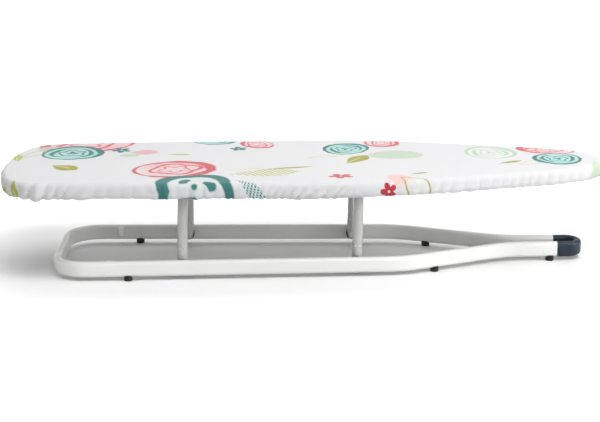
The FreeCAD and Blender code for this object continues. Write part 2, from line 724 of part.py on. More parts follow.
def make_cross_pins(label, pivot_x):
    """The four small pins that hold a leg's two plugs, joined as one group."""
    pins = []
    length = cell("leg_diameter") + cell("cross_pin_proud") * 2
    for side_name, side in SIDES:
        for pin_name, pin_side in SIDES:
            pin = DOCUMENT.addObject("Part::Cylinder", f"{label}_{side_name}_{pin_name}")
            bind(pin, "Radius", cell("cross_pin_diameter") / 2)
            bind(pin, "Height", length)
            x = cell("cross_pin_spacing") / 2 * pin_side
            y = leg_half(pivot_x) * side + length / 2
            pin.Placement = FreeCAD.Placement(
                FreeCAD.Vector(0, 0, 0), FreeCAD.Rotation(FreeCAD.Vector(1, 0, 0), 90.0))
            bind(pin, "Placement.Base.x", x)
            bind(pin, "Placement.Base.y", y)
            bind(pin, "Placement.Base.z", cell("cross_pin_rise"))
            pins.append(pin)
    group = DOCUMENT.addObject("Part::Compound", label)
    group.Label = label
    group.Links = pins
    place_on_leg(group, pivot_x)
    return group


def make_stop_lug(label, pivot_x):
    """Lug on the leg's cross bar that meets the rail when the leg is upright."""
    body = new_body(label)
    radius = cell("leg_diameter") / 2
    top = rail_bottom_z - upper_pivot_z - cell("stop_gap")
    profile = sketch_on(body, f"{label}_profile", "XZ_Plane")
    corner_path(profile, [
        (-cell("stop_reach"), top - cell("stop_slope"), None),
        (cell("stop_seat") - radius, ZERO, None),
        (cell("stop_seat") - radius, top, None),
        (-cell("stop_reach"), top, None),
    ], closed=True)
    pad(body, profile, cell("stop_width"), symmetric=True)
    bar = sketch_on(body, f"{label}_bar", "XZ_Plane")
    circle(bar, ZERO, ZERO, radius)
    pocket(body, bar, cell("stop_width") * 4, symmetric=True)
    put(body, upper_pivot_x(pivot_x), ZERO, upper_pivot_z)
    return body


# ---------------------------------------------------------------- upper bearings

def make_cross_rail(label, pivot_x):
    """Closed rail across the board, welded under the perforated top."""
    body = new_body(label)
    half = cell("rail_width") / 2
    wall = cell("rail_wall")
    profile = sketch_on(body, f"{label}_profile", "XZ_Plane")
    for inset in (ZERO, wall):
        corner_path(profile, [
            (-half + inset, inset, None),
            (half - inset, inset, None),
            (half - inset, cell("rail_height") - inset, None),
            (-half + inset, cell("rail_height") - inset, None),
        ], closed=True)
    rim_inside = half_width - cell("cloth_thickness") - cell("rim_diameter")
    pad(body, profile, (rim_inside - cell("rail_end_gap")) * 2, symmetric=True)
    holes = sketch_on(body, f"{label}_rivet_holes", "XY_Plane", -PAST)
    for side_name, side in SIDES:
        for end_name, end in SIDES:
            circle(holes, rivet_x() * end, cell("bearing_y") * side, cell("rivet_diameter") / 2)
    pocket(body, holes, wall + PAST * 2, back=True)
    put(body, upper_pivot_x(pivot_x), ZERO, rail_bottom_z)
    return body


def rivet_x():
    return cell("bearing_half") + cell("strap_gap") + cell("strap_thickness") + cell("strap_foot") / 2


def make_bearing(label, pivot_x, side, clearance):
    """Nylon block round the leg's cross bar."""
    body = new_body(label)
    half = cell("bearing_half")
    top = rail_bottom_z - upper_pivot_z
    profile = sketch_on(body, f"{label}_profile", "XZ_Plane")
    corner_path(profile, [
        (-half, top, None),
        (-half, -half, half - cell("bend_ease")),
        (half, -half, half - cell("bend_ease")),
        (half, top, None),
    ], closed=True)
    circle(profile, ZERO, ZERO, cell("leg_diameter") / 2 + clearance)
    pad(body, profile, cell("bearing_width"), symmetric=True)
    put(body, upper_pivot_x(pivot_x), cell("bearing_y") * side, upper_pivot_z)
    return body


def make_strap(label, pivot_x, side):
    """Steel strap that holds a bearing block up against the rail."""
    body = new_body(label)
    inner = cell("bearing_half") + cell("strap_gap")
    outer = inner + cell("strap_thickness")
    top = rail_bottom_z - upper_pivot_z
    foot_bottom = top - cell("strap_thickness")
    foot_end = outer + cell("strap_foot")
    ease = cell("bend_ease")
    profile = sketch_on(body, f"{label}_profile", "XZ_Plane")
    corner_path(profile, [
        (-foot_end, top, None),
        (-foot_end, foot_bottom, None),
        (-outer, foot_bottom, None),
        (-outer, -outer, outer - ease),
        (outer, -outer, outer - ease),
        (outer, foot_bottom, None),
        (foot_end, foot_bottom, None),
        (foot_end, top, None),
        (inner, top, None),
        (inner, -inner, inner - ease),
        (-inner, -inner, inner - ease),
        (-inner, top, None),
    ], closed=True)
    pad(body, profile, cell("strap_width"), symmetric=True)
    holes = sketch_on(body, f"{label}_holes", "XY_Plane", foot_bottom - PAST)
    for end_name, end in SIDES:
        circle(holes, rivet_x() * end, ZERO, cell("rivet_diameter") / 2)
    pocket(body, holes, cell("strap_thickness") + PAST * 2, back=True)
    put(body, upper_pivot_x(pivot_x), cell("bearing_y") * side, upper_pivot_z)
    return body


def make_strap_rivets(label, pivot_x):
    """The four rivets of one rail's straps, as one group of separate solids."""
    rivets = []
    foot_bottom = rail_bottom_z - cell("strap_thickness")
    grip = cell("strap_thickness") + cell("rail_wall")
    for side_name, side in SIDES:
        for end_name, end in SIDES:
            name = f"{label}_{side_name}_{end_name}"
            head = DOCUMENT.addObject("Part::Cone", f"{name}_head")
            bind(head, "Radius1", cell("rivet_head") / 2 - cell("rivet_head_bevel"))
            bind(head, "Radius2", cell("rivet_head") / 2)
            bind(head, "Height", cell("rivet_head_height"))
            shank = DOCUMENT.addObject("Part::Cylinder", f"{name}_shank")
            bind(shank, "Radius", cell("rivet_diameter") / 2)
            bind(shank, "Height", cell("rivet_head_height") + grip + cell("rivet_tail"))
            rivet = DOCUMENT.addObject("Part::Fuse", name)
            rivet.Base = head
            rivet.Tool = shank
            x = upper_pivot_x(pivot_x) + rivet_x() * end
            put(rivet, x, cell("bearing_y") * side, foot_bottom - cell("rivet_head_height"))
            rivets.append(rivet)
    group = DOCUMENT.addObject("Part::Compound", label)
    group.Label = label
    group.Links = rivets
    return group


# ---------------------------------------------------------------- the top

def outline_corners():
    """Corners of the board's outline, once round, each with its rounding."""
    back = -half_length
    nose = half_length
    corner_y = half_width - cell("back_corner_narrow")
    upper = [
        (back, cell("back_flat_half"), cell("back_flat_radius")),
        (back + cell("back_corner_inset"), corner_y, cell("back_corner_radius")),
        (back + cell("full_width_from_back"), half_width, cell("full_width_radius")),
        (nose - cell("full_width_from_nose"), half_width, cell("full_width_radius")),
        (nose - cell("taper_from_nose"), half_width - cell("taper_narrow"), cell("taper_radius")),
        (nose - cell("shoulder_from_nose"), cell("shoulder_half"), cell("shoulder_radius")),
        (nose - cell("cheek_from_nose"), cell("cheek_half"), cell("cheek_radius")),
        (nose, cell("tip_half"), cell("tip_radius")),
    ]
    lower = [(x, -y, radius) for x, y, radius in upper]
    return upper + lower[::-1]


def make_outline():
    """The board's outline as a flat face, which the layers are inset from."""
    sketch = DOCUMENT.addObject("Sketcher::SketchObject", "board_outline")
    corner_path(sketch, outline_corners(), closed=True)
    face = DOCUMENT.addObject("Part::Face", "board_face")
    face.Sources = (sketch,)
    return face


def inset_outline(name, outline, inset):
    """The outline moved inwards. A tight corner can leave small stray loops, so only the longest loop is kept."""
    shape = DOCUMENT.addObject("Part::Offset2D", name)
    shape.Source = outline
    bind(shape, "Value", -as_size(inset))
    DOCUMENT.recompute()
    loops = shape.Shape.Wires
    if len(loops) == 1:
        return shape
    longest = DOCUMENT.addObject("Part::Feature", name + "_longest")
    longest.Shape = Part.Face(max(loops, key=lambda loop: loop.Length))
    return longest


def slab(name, flat_shape, bottom, height):
    """A flat shape raised to a thickness at a height above the floor."""
    solid = DOCUMENT.addObject("Part::Extrusion", name)
    solid.Base = flat_shape
    solid.DirMode = "Custom"
    solid.Dir = FreeCAD.Vector(0, 0, 1)
    solid.Solid = True
    bind(solid, "LengthFwd", height)
    bind(solid, "Placement.Base.z", bottom)
    return solid


def top_edges_rounded(name, solid, radius):
    """Rounds the edges that lie in the solid's highest plane."""
    DOCUMENT.recompute()
    top = solid.Shape.BoundBox.ZMax
    chosen = []
    for number, edge in enumerate(solid.Shape.Edges, start=1):
        box = edge.BoundBox
        if abs(box.ZMin - top) < 1e-4 and abs(box.ZMax - top) < 1e-4:
            chosen.append((number, radius.number, radius.number))
    rounded = DOCUMENT.addObject("Part::Fillet", name)
    rounded.Base = solid
    rounded.Edges = chosen
    return rounded


def cut(name, base, tool):
    feature = DOCUMENT.addObject("Part::Cut", name)
    feature.Base = base
    feature.Tool = tool
    return feature


def make_cover(outline):
    """Cotton cover: a skin over the pad, down the side and turned in under the rim."""
    cloth = cell("cloth_thickness")
    outside = slab("cover_outside", outline, hem_bottom_z, cover_top_z - hem_bottom_z)
    outside = top_edges_rounded("cover_outside_rounded", outside, cell("edge_rounding"))
    inside = slab("cover_inside", inset_outline("cover_inset", outline, cloth),
                  rim_bottom_z, pad_top_z - rim_bottom_z)
    inside = top_edges_rounded("cover_inside_rounded", inside, cell("edge_rounding") - cloth)
    skin = cut("cover_skin", outside, inside)
    opening = slab("hem_opening", inset_outline("hem_inset", outline, cell("hem_return")),
                   hem_bottom_z - PAST, cloth + PAST * 2)
    cover = cut("cover", skin, opening)
    cover.Label = "cover"
    return cover


def make_pad(outline):
    """Foam pad on the steel top, rounded like the inside of the cover."""
    cloth = cell("cloth_thickness")
    block = slab("pad_block", inset_outline("pad_inset", outline, cloth), pad_bottom_z, cell("pad_thickness"))
    foam = top_edges_rounded("pad", block, cell("edge_rounding") - cloth)
    foam.Label = "pad"
    return foam


def slot_places(sheet_outline):
    """Centres of the vent slots, in staggered rows inside the taper of the board."""
    pitch_x = cell("slot_pitch_x").number
    pitch_y = cell("slot_pitch_y").number
    edge = cell("rim_diameter").number + cell("cloth_thickness").number + cell("slot_width").number
    places = []
    rows = int(half_width.number // pitch_y)
    columns = int(half_length.number // pitch_x)
    sheet_face = Part.Face(sheet_outline.Shape.Wires[0])
    for row in range(-rows, rows + 1):
        for column in range(-columns - 1, columns + 1):
            x = (column + 0.5 + 0.5 * (row % 2)) * pitch_x
            y = row * pitch_y
            reach = cell("slot_length").number / 2 + edge
            corners = [(x + a, y + b) for a in (-reach, reach) for b in (-edge, edge)]
            if all(sheet_face.isInside(FreeCAD.Vector(a, b, 0), 0.01, True) for a, b in corners):
                places.append((x, y))
    return places


def make_mesh(outline):
    """Steel top with staggered vent slots, welded on the rim tube."""
    inset = cell("cloth_thickness") + cell("rim_diameter") / 2
    flat_shape = inset_outline("mesh_inset", outline, inset)
    sheet = slab("mesh_sheet", flat_shape, mesh_bottom_z, cell("mesh_thickness"))
    radius = cell("slot_width").number / 2
    straight = cell("slot_length").number / 2 - radius
    tools = []
    for x, y in slot_places(flat_shape):
        depth = FreeCAD.Vector(0, 0, cell("mesh_thickness").number + PAST * 2)
        low = mesh_bottom_z.number - PAST
        offsets = ((-straight, -radius), (straight, -radius), (straight, radius), (-straight, radius))
        corners = [FreeCAD.Vector(x + a, y + b, low) for a, b in offsets]
        right = Part.Arc(corners[1], FreeCAD.Vector(x + straight + radius, y, low), corners[2])
        left = Part.Arc(corners[3], FreeCAD.Vector(x - straight - radius, y, low), corners[0])
        wire = Part.Wire([
            Part.LineSegment(corners[0], corners[1]).toShape(),
            right.toShape(),
            Part.LineSegment(corners[2], corners[3]).toShape(),
            left.toShape(),
        ])
        tools.append(Part.Face(wire).extrude(depth))
    slots = DOCUMENT.addObject("Part::Feature", "mesh_slots")
    slots.Shape = Part.makeCompound(tools)
    mesh = cut("top_mesh", sheet, slots)
    mesh.Label = "top_mesh"
    return mesh


def make_rim(outline):
    """Round tube bent along the board's edge, closed on itself."""
    inset = cell("cloth_thickness") + cell("rim_diameter") / 2
    centre_z = mesh_bottom_z - cell("rim_diameter") / 2
    path = inset_outline("rim_path", outline, inset)
    DOCUMENT.recompute()
    start = min(path.Shape.Vertexes, key=lambda vertex: abs(vertex.Y - half_width.number) + abs(vertex.X))
    edge = next(item for item in path.Shape.Edges
                if item.firstVertex(True).Point.distanceToPoint(start.Point) < 1e-6)
    direction = edge.tangentAt(edge.FirstParameter)
    radius = cell("rim_diameter").number / 2
    solids = []
    for size in (radius, radius - cell("rim_wall").number):
        ring = Part.Wire(Part.makeCircle(size, start.Point, direction))
        solids.append(path.Shape.Wires[0].makePipeShell([ring], True, False))
    rim = DOCUMENT.addObject("Part::Feature", "rim_tube")
    rim.Shape = solids[0].cut(solids[1])
    rim.Label = "rim_tube"
    rim.Placement = FreeCAD.Placement(FreeCAD.Vector(0, 0, centre_z.number), FreeCAD.Rotation())
    return rim


def make_elastic(outline):
    """Flat elastic band that draws the cover's edge in under the rim."""
    outer_inset = cell("cloth_thickness") + cell("rim_diameter") + cell("elastic_gap")
    inner_inset = outer_inset + cell("elastic_width")
    outer = slab("elastic_outside", inset_outline("elastic_outer", outline, outer_inset),
                 rim_bottom_z, cell("elastic_thickness"))
    inner = slab("elastic_inside", inset_outline("elastic_inner", outline, inner_inset),
                 rim_bottom_z - PAST, cell("elastic_thickness") + PAST * 2)
    band = cut("hem_elastic", outer, inner)
    band.Label = "hem_elastic"
    return band


# ---------------------------------------------------------------- assembly

pieces = [make_base_tube(), make_end_cap()]
for place_name, x, y, slope in FOOT_PLACES:
    for side_name, side in SIDES:
        pieces.append(make_foot(f"foot_{place_name}_{side_name}", x, y * side, slope * side))
for side_name, side in SIDES:
    pieces.append(make_clip(f"storage_clip_{side_name}", side))
for leg_name, pivot_x in PIVOTS:
    clearance = cell("running_clearance") if leg_name == "rear" else cell("open_pivot_clearance")
    pieces.append(make_leg(f"{leg_name}_leg", pivot_x))
    pieces.append(make_cross_pins(f"{leg_name}_cross_pins", pivot_x))
    pieces.append(make_stop_lug(f"{leg_name}_stop_lug", pivot_x))
    pieces.append(make_cross_rail(f"{leg_name}_cross_rail", pivot_x))
    pieces.append(make_strap_rivets(f"{leg_name}_strap_rivets", pivot_x))
    for side_name, side in SIDES:
        suffix = f"{leg_name}_{side_name}"
        pieces.append(make_leg_plug(f"leg_plug_{suffix}", pivot_x, side))
        pieces.append(make_pivot_pin(f"pivot_pin_{suffix}", pivot_x, side))
        pieces.append(make_washer(f"pivot_washer_{suffix}", pivot_x, side))
        pieces.append(make_bearing(f"bearing_{suffix}", pivot_x, side, clearance))
        pieces.append(make_strap(f"strap_{suffix}", pivot_x, side))

outline = make_outline()
pieces.append(make_mesh(outline))
pieces.append(make_rim(outline))
pieces.append(make_pad(outline))
pieces.append(make_cover(outline))
pieces.append(make_elastic(outline))

DOCUMENT.recompute()

for item in DOCUMENT.Objects:
    if "Invalid" in item.State or "Error" in item.State:
        raise RuntimeError(f"{item.Name} failed: {item.State}")

os.makedirs("parts", exist_ok=True)
for piece in pieces:
    if piece.Shape.isNull() or not piece.Shape.isValid():
        raise RuntimeError(f"{piece.Label} has no valid shape")
    piece.Shape.exportStep(f"parts/{piece.Label}.step")
    box = piece.Shape.BoundBox
    print(f"{piece.Label}: {len(piece.Shape.Solids)} solid(s), {piece.Shape.Volume:.0f} mm3, "
          f"x {box.XMin:.1f}..{box.XMax:.1f}, y {box.YMin:.1f}..{box.YMax:.1f}, "
          f"z {box.ZMin:.1f}..{box.ZMax:.1f}")
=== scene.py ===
# %% [markdown]
# # A folding table-top ironing board
# The steel parts come from the engineering model, which is loaded here and never changed. This lesson gives
# them finishes, and makes the soft parts new: a foam pad and a printed cotton cover with a gathered edge.

# %% Load the frame
import json
import math
import random

import bmesh
import bpy
import numpy as np
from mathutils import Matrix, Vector
from mathutils.geometry import delaunay_2d_cdt


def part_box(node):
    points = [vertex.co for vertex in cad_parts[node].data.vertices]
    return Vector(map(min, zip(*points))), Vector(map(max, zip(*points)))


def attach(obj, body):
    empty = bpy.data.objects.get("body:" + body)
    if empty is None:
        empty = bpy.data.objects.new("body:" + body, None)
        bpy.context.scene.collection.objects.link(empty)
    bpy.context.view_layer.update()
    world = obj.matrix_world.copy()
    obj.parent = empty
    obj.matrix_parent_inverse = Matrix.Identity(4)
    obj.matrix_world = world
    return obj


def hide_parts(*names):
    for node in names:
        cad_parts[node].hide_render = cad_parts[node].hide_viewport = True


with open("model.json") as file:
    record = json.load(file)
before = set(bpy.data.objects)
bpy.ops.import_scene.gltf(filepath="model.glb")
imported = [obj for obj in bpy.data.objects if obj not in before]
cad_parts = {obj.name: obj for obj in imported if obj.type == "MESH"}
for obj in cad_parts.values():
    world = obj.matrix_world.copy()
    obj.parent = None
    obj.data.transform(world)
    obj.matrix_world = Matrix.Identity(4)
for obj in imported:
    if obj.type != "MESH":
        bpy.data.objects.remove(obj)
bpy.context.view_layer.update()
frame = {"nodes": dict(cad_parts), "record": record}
nodes = frame["nodes"]
MM = 0.001

# %% [markdown]
# ## The camera
# The board is seen from its long side, a little from above, by a fairly long lens more than two metres away.
# Such a lens keeps the long edges almost parallel. The camera stands just left of the board's middle.

# %% Camera
CAMERA_PLACE = (-0.0416, -2.1916, 0.6778)
LOOKS_DOWN = math.radians(15.25)
LOOKS_RIGHT = math.radians(0.86)
LEANS = math.radians(-0.30)
bpy.ops.object.select_all(action="DESELECT")
bpy.ops.object.camera_add(location=CAMERA_PLACE)
camera = bpy.context.object
camera.name = "camera"
camera.rotation_mode = "ZXY"
camera.rotation_euler = (math.radians(90) - LOOKS_DOWN, 0.0, 0.0)
turned = camera.rotation_euler.to_matrix()
turned = turned.Rotation(-LOOKS_RIGHT, 3, "Z") @ turned @ turned.Rotation(LEANS, 3, "Z")
camera.rotation_euler = turned.to_euler("ZXY")
camera.data.lens = 85
camera.data.sensor_width = 36
bpy.context.scene.camera = camera
print("camera looks along", [round(part, 4) for part in -turned.col[2]])

# %% [markdown]
# ## Writing materials as arithmetic
# A procedural material is a net of small nodes, and a long net is hard to follow when each link is spelled
# out. Here a Field stands for a number that changes over a surface. Adding or multiplying two Fields adds the
# Math node that does it, so a pattern can be read as a formula.

# %% Fields
class Field:
    """A number that changes over a surface."""

    def __init__(self, tree, socket):
        self.tree = tree
        self.socket = socket

    def step(self, operation, *others):
        node = self.tree.nodes.new("ShaderNodeMath")
        node.operation = operation
        for socket, value in zip(node.inputs, (self, *others)):
            connect(self.tree, value, socket)
        return Field(self.tree, node.outputs[0])

    def __add__(self, other):
        return self.step("ADD", other)

    def __sub__(self, other):
        return self.step("SUBTRACT", other)

    def __mul__(self, other):
        return self.step("MULTIPLY", other)

    def ramp(self, low, high):
        """0 below low, 1 above high, and a soft step between."""
        node = self.tree.nodes.new("ShaderNodeMapRange")
        node.interpolation_type = "SMOOTHSTEP"
        connect(self.tree, self, node.inputs["Value"])
        node.inputs["From Min"].default_value = low
        node.inputs["From Max"].default_value = high
        return Field(self.tree, node.outputs["Result"])


def connect(tree, value, socket):
    """Puts a Field, a socket or a plain value into a socket."""
    if isinstance(value, Field):
        tree.links.new(value.socket, socket)
    elif isinstance(value, bpy.types.NodeSocket):
        tree.links.new(value, socket)
    else:
        socket.default_value = value


def add_node(tree, kind, output, **inputs):
    """A node of this kind, its inputs filled by name, and one of its outputs as a Field."""
    node = tree.nodes.new(kind)
    for name, value in inputs.items():
        connect(tree, value, node.inputs[name.replace("_", " ")])
    return Field(tree, node.outputs[output])


def noise(tree, place, scale, detail=2.0):
    return add_node(tree, "ShaderNodeTexNoise", "Fac", Vector=place, Scale=scale, Detail=detail)


def blended(tree, share, first, second):
    """The first colour where share is 0, and the second where it is 1."""
    node = tree.nodes.new("ShaderNodeMix")
    node.data_type = "RGBA"
    connect(tree, share, node.inputs["Factor"])
    connect(tree, first, node.inputs["A"])
    connect(tree, second, node.inputs["B"])
    return node.outputs["Result"]


def bumped(tree, height, strength, distance):
    return add_node(tree, "ShaderNodeBump", "Normal", Height=height, Strength=strength, Distance=distance)


def new_material(name):
    """A material with its shader and the place on the surface that its pattern reads."""
    material = bpy.data.materials.new(name)
    material.use_nodes = True
    tree = material.node_tree
    place = tree.nodes.new("ShaderNodeTexCoord").outputs["Object"]
    return material, tree, tree.nodes["Principled BSDF"], place


print("helpers ready")

# %% [markdown]
# ## Floor and light
# The board stands on a white floor that curves up behind it, so no horizon shows. A plane gives the floor,
# and its far edge is extruded upwards and bevelled. The light is soft: a wide key panel high in front and to
# the right, a wide one overhead and behind, one low on the right, and a narrow weak strip in front of the
# tubes. A white world fills the shadows.

# %% Floor
WHITE_PAPER = (0.90, 0.90, 0.90, 1)
WHITER_PAPER = (0.93, 0.93, 0.93, 1)
FLOOR_HALF = 5.0
FLOOR_BACK = 3.2
WALL_HEIGHT = 4.0
CURVE_RADIUS = 1.6


def begin():
    """Nothing stays selected, because an operator acts on all that is."""
    if bpy.context.object and bpy.context.object.mode != "OBJECT":
        bpy.ops.object.mode_set(mode="OBJECT")
    bpy.ops.object.select_all(action="DESELECT")


begin()
bpy.ops.mesh.primitive_plane_add(size=2)
floor = bpy.context.object
floor.name = "floor"
for corner in floor.data.vertices:
    corner.co.x *= FLOOR_HALF
    corner.co.y = FLOOR_BACK if corner.co.y > 0 else -FLOOR_HALF
bpy.ops.object.mode_set(mode="EDIT")
bpy.ops.mesh.select_mode(type="EDGE")
shape = bmesh.from_edit_mesh(floor.data)
for edge in shape.edges:
    edge.select_set(all(v.co.y > 0 for v in edge.verts))
bpy.ops.mesh.extrude_region_move(TRANSFORM_OT_translate={"value": (0, 0, WALL_HEIGHT)})
shape = bmesh.from_edit_mesh(floor.data)
for edge in shape.edges:
    edge.select_set(all(v.co.y > 0 and v.co.z < MM for v in edge.verts))
bpy.ops.mesh.bevel(offset=CURVE_RADIUS, segments=16, affect="EDGES")
bpy.ops.object.mode_set(mode="OBJECT")
bpy.ops.object.shade_smooth()
paper, tree, shader, place = new_material("white_paper")
clouds = noise(tree, place, 3.0)
connect(tree, blended(tree, clouds, WHITE_PAPER, WHITER_PAPER), shader.inputs["Base Color"])
shader.inputs["Roughness"].default_value = 0.9
shader.inputs["Specular IOR Level"].default_value = 0.2
floor.data.materials.append(paper)
print("floor faces:", len(floor.data.polygons))

# %% Lights
LIT_POINT = Vector((0, 0, 0.1))


def panel(name, place, size, power):
    """A soft light panel that faces the middle of the board."""
    begin()
    bpy.ops.object.light_add(type="AREA", location=place)
    light = bpy.context.object
    light.name = name
    light.data.shape = "RECTANGLE"
    light.data.size, light.data.size_y = size
    light.data.energy = power
    light.rotation_euler = (LIT_POINT - Vector(place)).to_track_quat("-Z", "Y").to_euler()


panel("key_panel", (0.8, -1.4, 2.9), (2.2, 1.4), 72)
panel("overhead_panel", (0.3, 1.0, 2.4), (2.6, 1.6), 28)
panel("side_panel", (2.2, -0.9, 0.8), (0.6, 1.3), 36)
panel("strip_panel", (0.9, -2.5, 0.8), (0.16, 1.2), 5)
world = bpy.data.worlds.new("studio")
bpy.context.scene.world = world
world.use_nodes = True
world.node_tree.nodes["Background"].inputs["Color"].default_value = (1, 1, 1, 1)
world.node_tree.nodes["Background"].inputs["Strength"].default_value = 1.05
bpy.context.scene.view_settings.view_transform = "Standard"
print("lights:", [light.name for light in bpy.data.lights])

# %% [markdown]
# ## Powder-coated steel
# The tubes are coated white. Powder melts into a hard gloss skin with a fine orange peel, which shows only as
# a slight ripple in the reflections. The coat picks up faint grey marks from handling. Colour and roughness
# vary a little by noise, and the ripple is a bump, because it is far too shallow to model.

# %% Coated steel
def coated_steel(name, colour, marked, rough, peel):
    material, tree, shader, place = new_material(name)
    clouds = noise(tree, place, 9.0, 4.0)
    specks = noise(tree, place, 260.0, 3.0)
    marks = (clouds * 0.6 + specks * 0.4).ramp(0.58, 0.74)
    colours = blended(tree, marks * 0.5, colour, marked)
    connect(tree, colours, shader.inputs["Base Color"])
    connect(tree, clouds * 0.10 + specks * 0.06 + (rough - 0.08), shader.inputs["Roughness"])
    ripple = noise(tree, place, 620.0, 1.5) + noise(tree, place, 1900.0, 1.0) * 0.25
    connect(tree, bumped(tree, ripple, peel, 0.12 * MM), shader.inputs["Normal"])
    shader.inputs["Coat Weight"].default_value = 0.35
    shader.inputs["Coat Roughness"].default_value = 0.09
    shader.inputs["Specular IOR Level"].default_value = 0.55
    return material


white_coat = coated_steel("white_powder_coat", (0.72, 0.72, 0.71, 1), (0.58, 0.57, 0.55, 1), 0.24, 0.16)
# Painted shade: the legs get a darker grey copy of the white coat, standing for the shadow that the board
# casts on them.
white_coat_painted_shade = coated_steel("white_powder_coat_painted_shade", (0.49, 0.49, 0.485, 1), (0.40, 0.40, 0.395, 1), 0.22, 0.20)
grey_coat = coated_steel("grey_powder_coat", (0.50, 0.50, 0.50, 1), (0.40, 0.40, 0.40, 1), 0.34, 0.22)
print("coats:", white_coat.name, white_coat_painted_shade.name, grey_coat.name)

# %% [markdown]
# ## Plastics and rubber
# Moulded plastic has a fine grain from the etched mould and a slightly uneven gloss. The end cap is slate
# blue with a satin grain, the bearings are black nylon, and the clips are white and smoother. Rubber is matt,
# with a coarser grain and dust on it, so it is lighter where noise puts the dust.

# %% Moulded parts
def moulded(name, colour, worn, rough, grain_scale, grain, dust=0.0):
    material, tree, shader, place = new_material(name)
    clouds = noise(tree, place, 30.0, 3.0)
    grains = noise(tree, place, grain_scale, 2.0)
    colours = blended(tree, clouds.ramp(0.35, 0.75) * (0.35 + dust), colour, worn)
    connect(tree, colours, shader.inputs["Base Color"])
    connect(tree, clouds * 0.16 + grains * 0.08 + (rough - 0.12), shader.inputs["Roughness"])
    connect(tree, bumped(tree, grains, grain, 0.15 * MM), shader.inputs["Normal"])
    shader.inputs["Specular IOR Level"].default_value = 0.32
    return material


slate = moulded("slate_satin_plastic", (0.009, 0.019, 0.034, 1), (0.018, 0.031, 0.050, 1), 0.40, 1400.0, 0.30)
nylon = moulded("black_nylon", (0.012, 0.012, 0.013, 1), (0.030, 0.030, 0.032, 1), 0.42, 1100.0, 0.25)
gloss = moulded("white_gloss_plastic", (0.88, 0.88, 0.87, 1), (0.80, 0.80, 0.78, 1), 0.28, 900.0, 0.12)
rubber = moulded("black_rubber", (0.010, 0.010, 0.010, 1), (0.045, 0.043, 0.040, 1), 0.72, 700.0, 0.55, 0.3)
print("moulded:", slate.name, nylon.name, gloss.name, rubber.name)

# %% [markdown]
# ## Plated steel
# Pins, rivets and straps are bright zinc plated. Plating is metal, with fine lines left by drawing or rolling
# and a faint cloudiness, so the roughness carries a stretched noise.

# %% Plated steel
def plated(name):
    material, tree, shader, place = new_material(name)
    stretched = add_node(tree, "ShaderNodeMapping", "Vector", Vector=place, Scale=(3000.0, 300.0, 3000.0))
    lines = noise(tree, stretched, 1.0, 2.0)
    clouds = noise(tree, place, 60.0, 3.0)
    colours = blended(tree, clouds.ramp(0.4, 0.7), (0.66, 0.67, 0.68, 1), (0.56, 0.56, 0.54, 1))
    connect(tree, colours, shader.inputs["Base Color"])
    connect(tree, lines * 0.16 + clouds * 0.14 + 0.16, shader.inputs["Roughness"])
    connect(tree, bumped(tree, lines, 0.12, 0.03 * MM), shader.inputs["Normal"])
    shader.inputs["Metallic"].default_value = 1.0
    return material


zinc = plated("zinc_plating")
print("plated:", zinc.name)

# %% [markdown]
# ## Foam and elastic
# The pad is open-cell foam, cream white, with cells under a millimetre that show as a fine voronoi bump, with
# painted shade that darkens each cell's pit. The elastic in the hem is a woven band, with ribs along it, and
# painted shade darkens the grooves between the ribs.

# %% Foam and elastic
def open_foam(name):
    material, tree, shader, place = new_material(name)
    cells = add_node(tree, "ShaderNodeTexVoronoi", "Distance", Vector=place, Scale=1100.0)
    clouds = noise(tree, place, 25.0, 3.0)
    # Painted shade: the foam's colour is darker in the pits of the cell bump, as if the pores were in shade.
    pore_shade_and_clouds = cells.ramp(0.1, 0.8) * 0.6 + clouds * 0.3
    colours = blended(tree, pore_shade_and_clouds, (0.62, 0.59, 0.50, 1), (0.86, 0.84, 0.78, 1))
    connect(tree, colours, shader.inputs["Base Color"])
    connect(tree, clouds * 0.1 + 0.85, shader.inputs["Roughness"])
    connect(tree, bumped(tree, cells, 0.8, 0.5 * MM), shader.inputs["Normal"])
    shader.inputs["Sheen Weight"].default_value = 0.15
    return material


def woven_elastic(name):
    material, tree, shader, place = new_material(name)
    ribs = add_node(tree, "ShaderNodeTexWave", "Fac", Vector=place, Scale=260.0, Distortion=1.5)
    threads = noise(tree, place, 900.0, 2.0)
    # Painted shade: the elastic's colour is darker in the grooves, where the rib bump is low.
    colours = blended(tree, ribs * 0.5 + threads * 0.3, (0.62, 0.62, 0.60, 1), (0.85, 0.85, 0.83, 1))
    connect(tree, colours, shader.inputs["Base Color"])
    connect(tree, threads * 0.2 + 0.65, shader.inputs["Roughness"])
    connect(tree, bumped(tree, ribs + threads * 0.4, 0.5, 0.2 * MM), shader.inputs["Normal"])
    return material


foam = open_foam("open_cell_foam")
elastic = woven_elastic("woven_elastic")
print("soft finishes:", foam.name, elastic.name)

# %% [markdown]
# ## Finishes on the steel and plastic pieces
# Each loaded piece names the material slot of its engineering record. One table turns slots into finishes.
# The legs are the exception: they wear a darker grey copy of the white coat, which is painted shade for the
# board's shadow on them.

# %% Dress the loaded pieces
FINISHES = {
    "white_steel": white_coat,
    "grey_mesh_steel": grey_coat,
    "slate_plastic": slate,
    "black_rubber": rubber,
    "black_nylon": nylon,
    "white_plastic": gloss,
    "plated_steel": zinc,
    "foam": foam,
    "elastic": elastic,
}
LEGS = ("rear_leg", "front_leg")
slots = {part["node"]: part["material_slot"] for part in frame["record"]["subparts"]}
for name, piece in nodes.items():
    # Painted shade: the legs take the darkened copy of the white coat in place of their record's white.
    finish = white_coat_painted_shade if name in LEGS else FINISHES.get(slots[name], white_coat)
    piece.data.materials.clear()
    piece.data.materials.append(finish)
print("dressed:", len(slots))

# %% [markdown]
# ## The board's outline
# The pad and the cover follow the outline of the board, so it is read from the engineering model's cover. A
# copy is merged and cut by a level plane half way down its side, and the outer loop of the cut is walked.
# The loop is then spaced evenly and smoothed a little, so that folds can be placed along the edge.

# %% Read the outline
EDGE_COUNT = 840
SMOOTHING_PASSES = 6


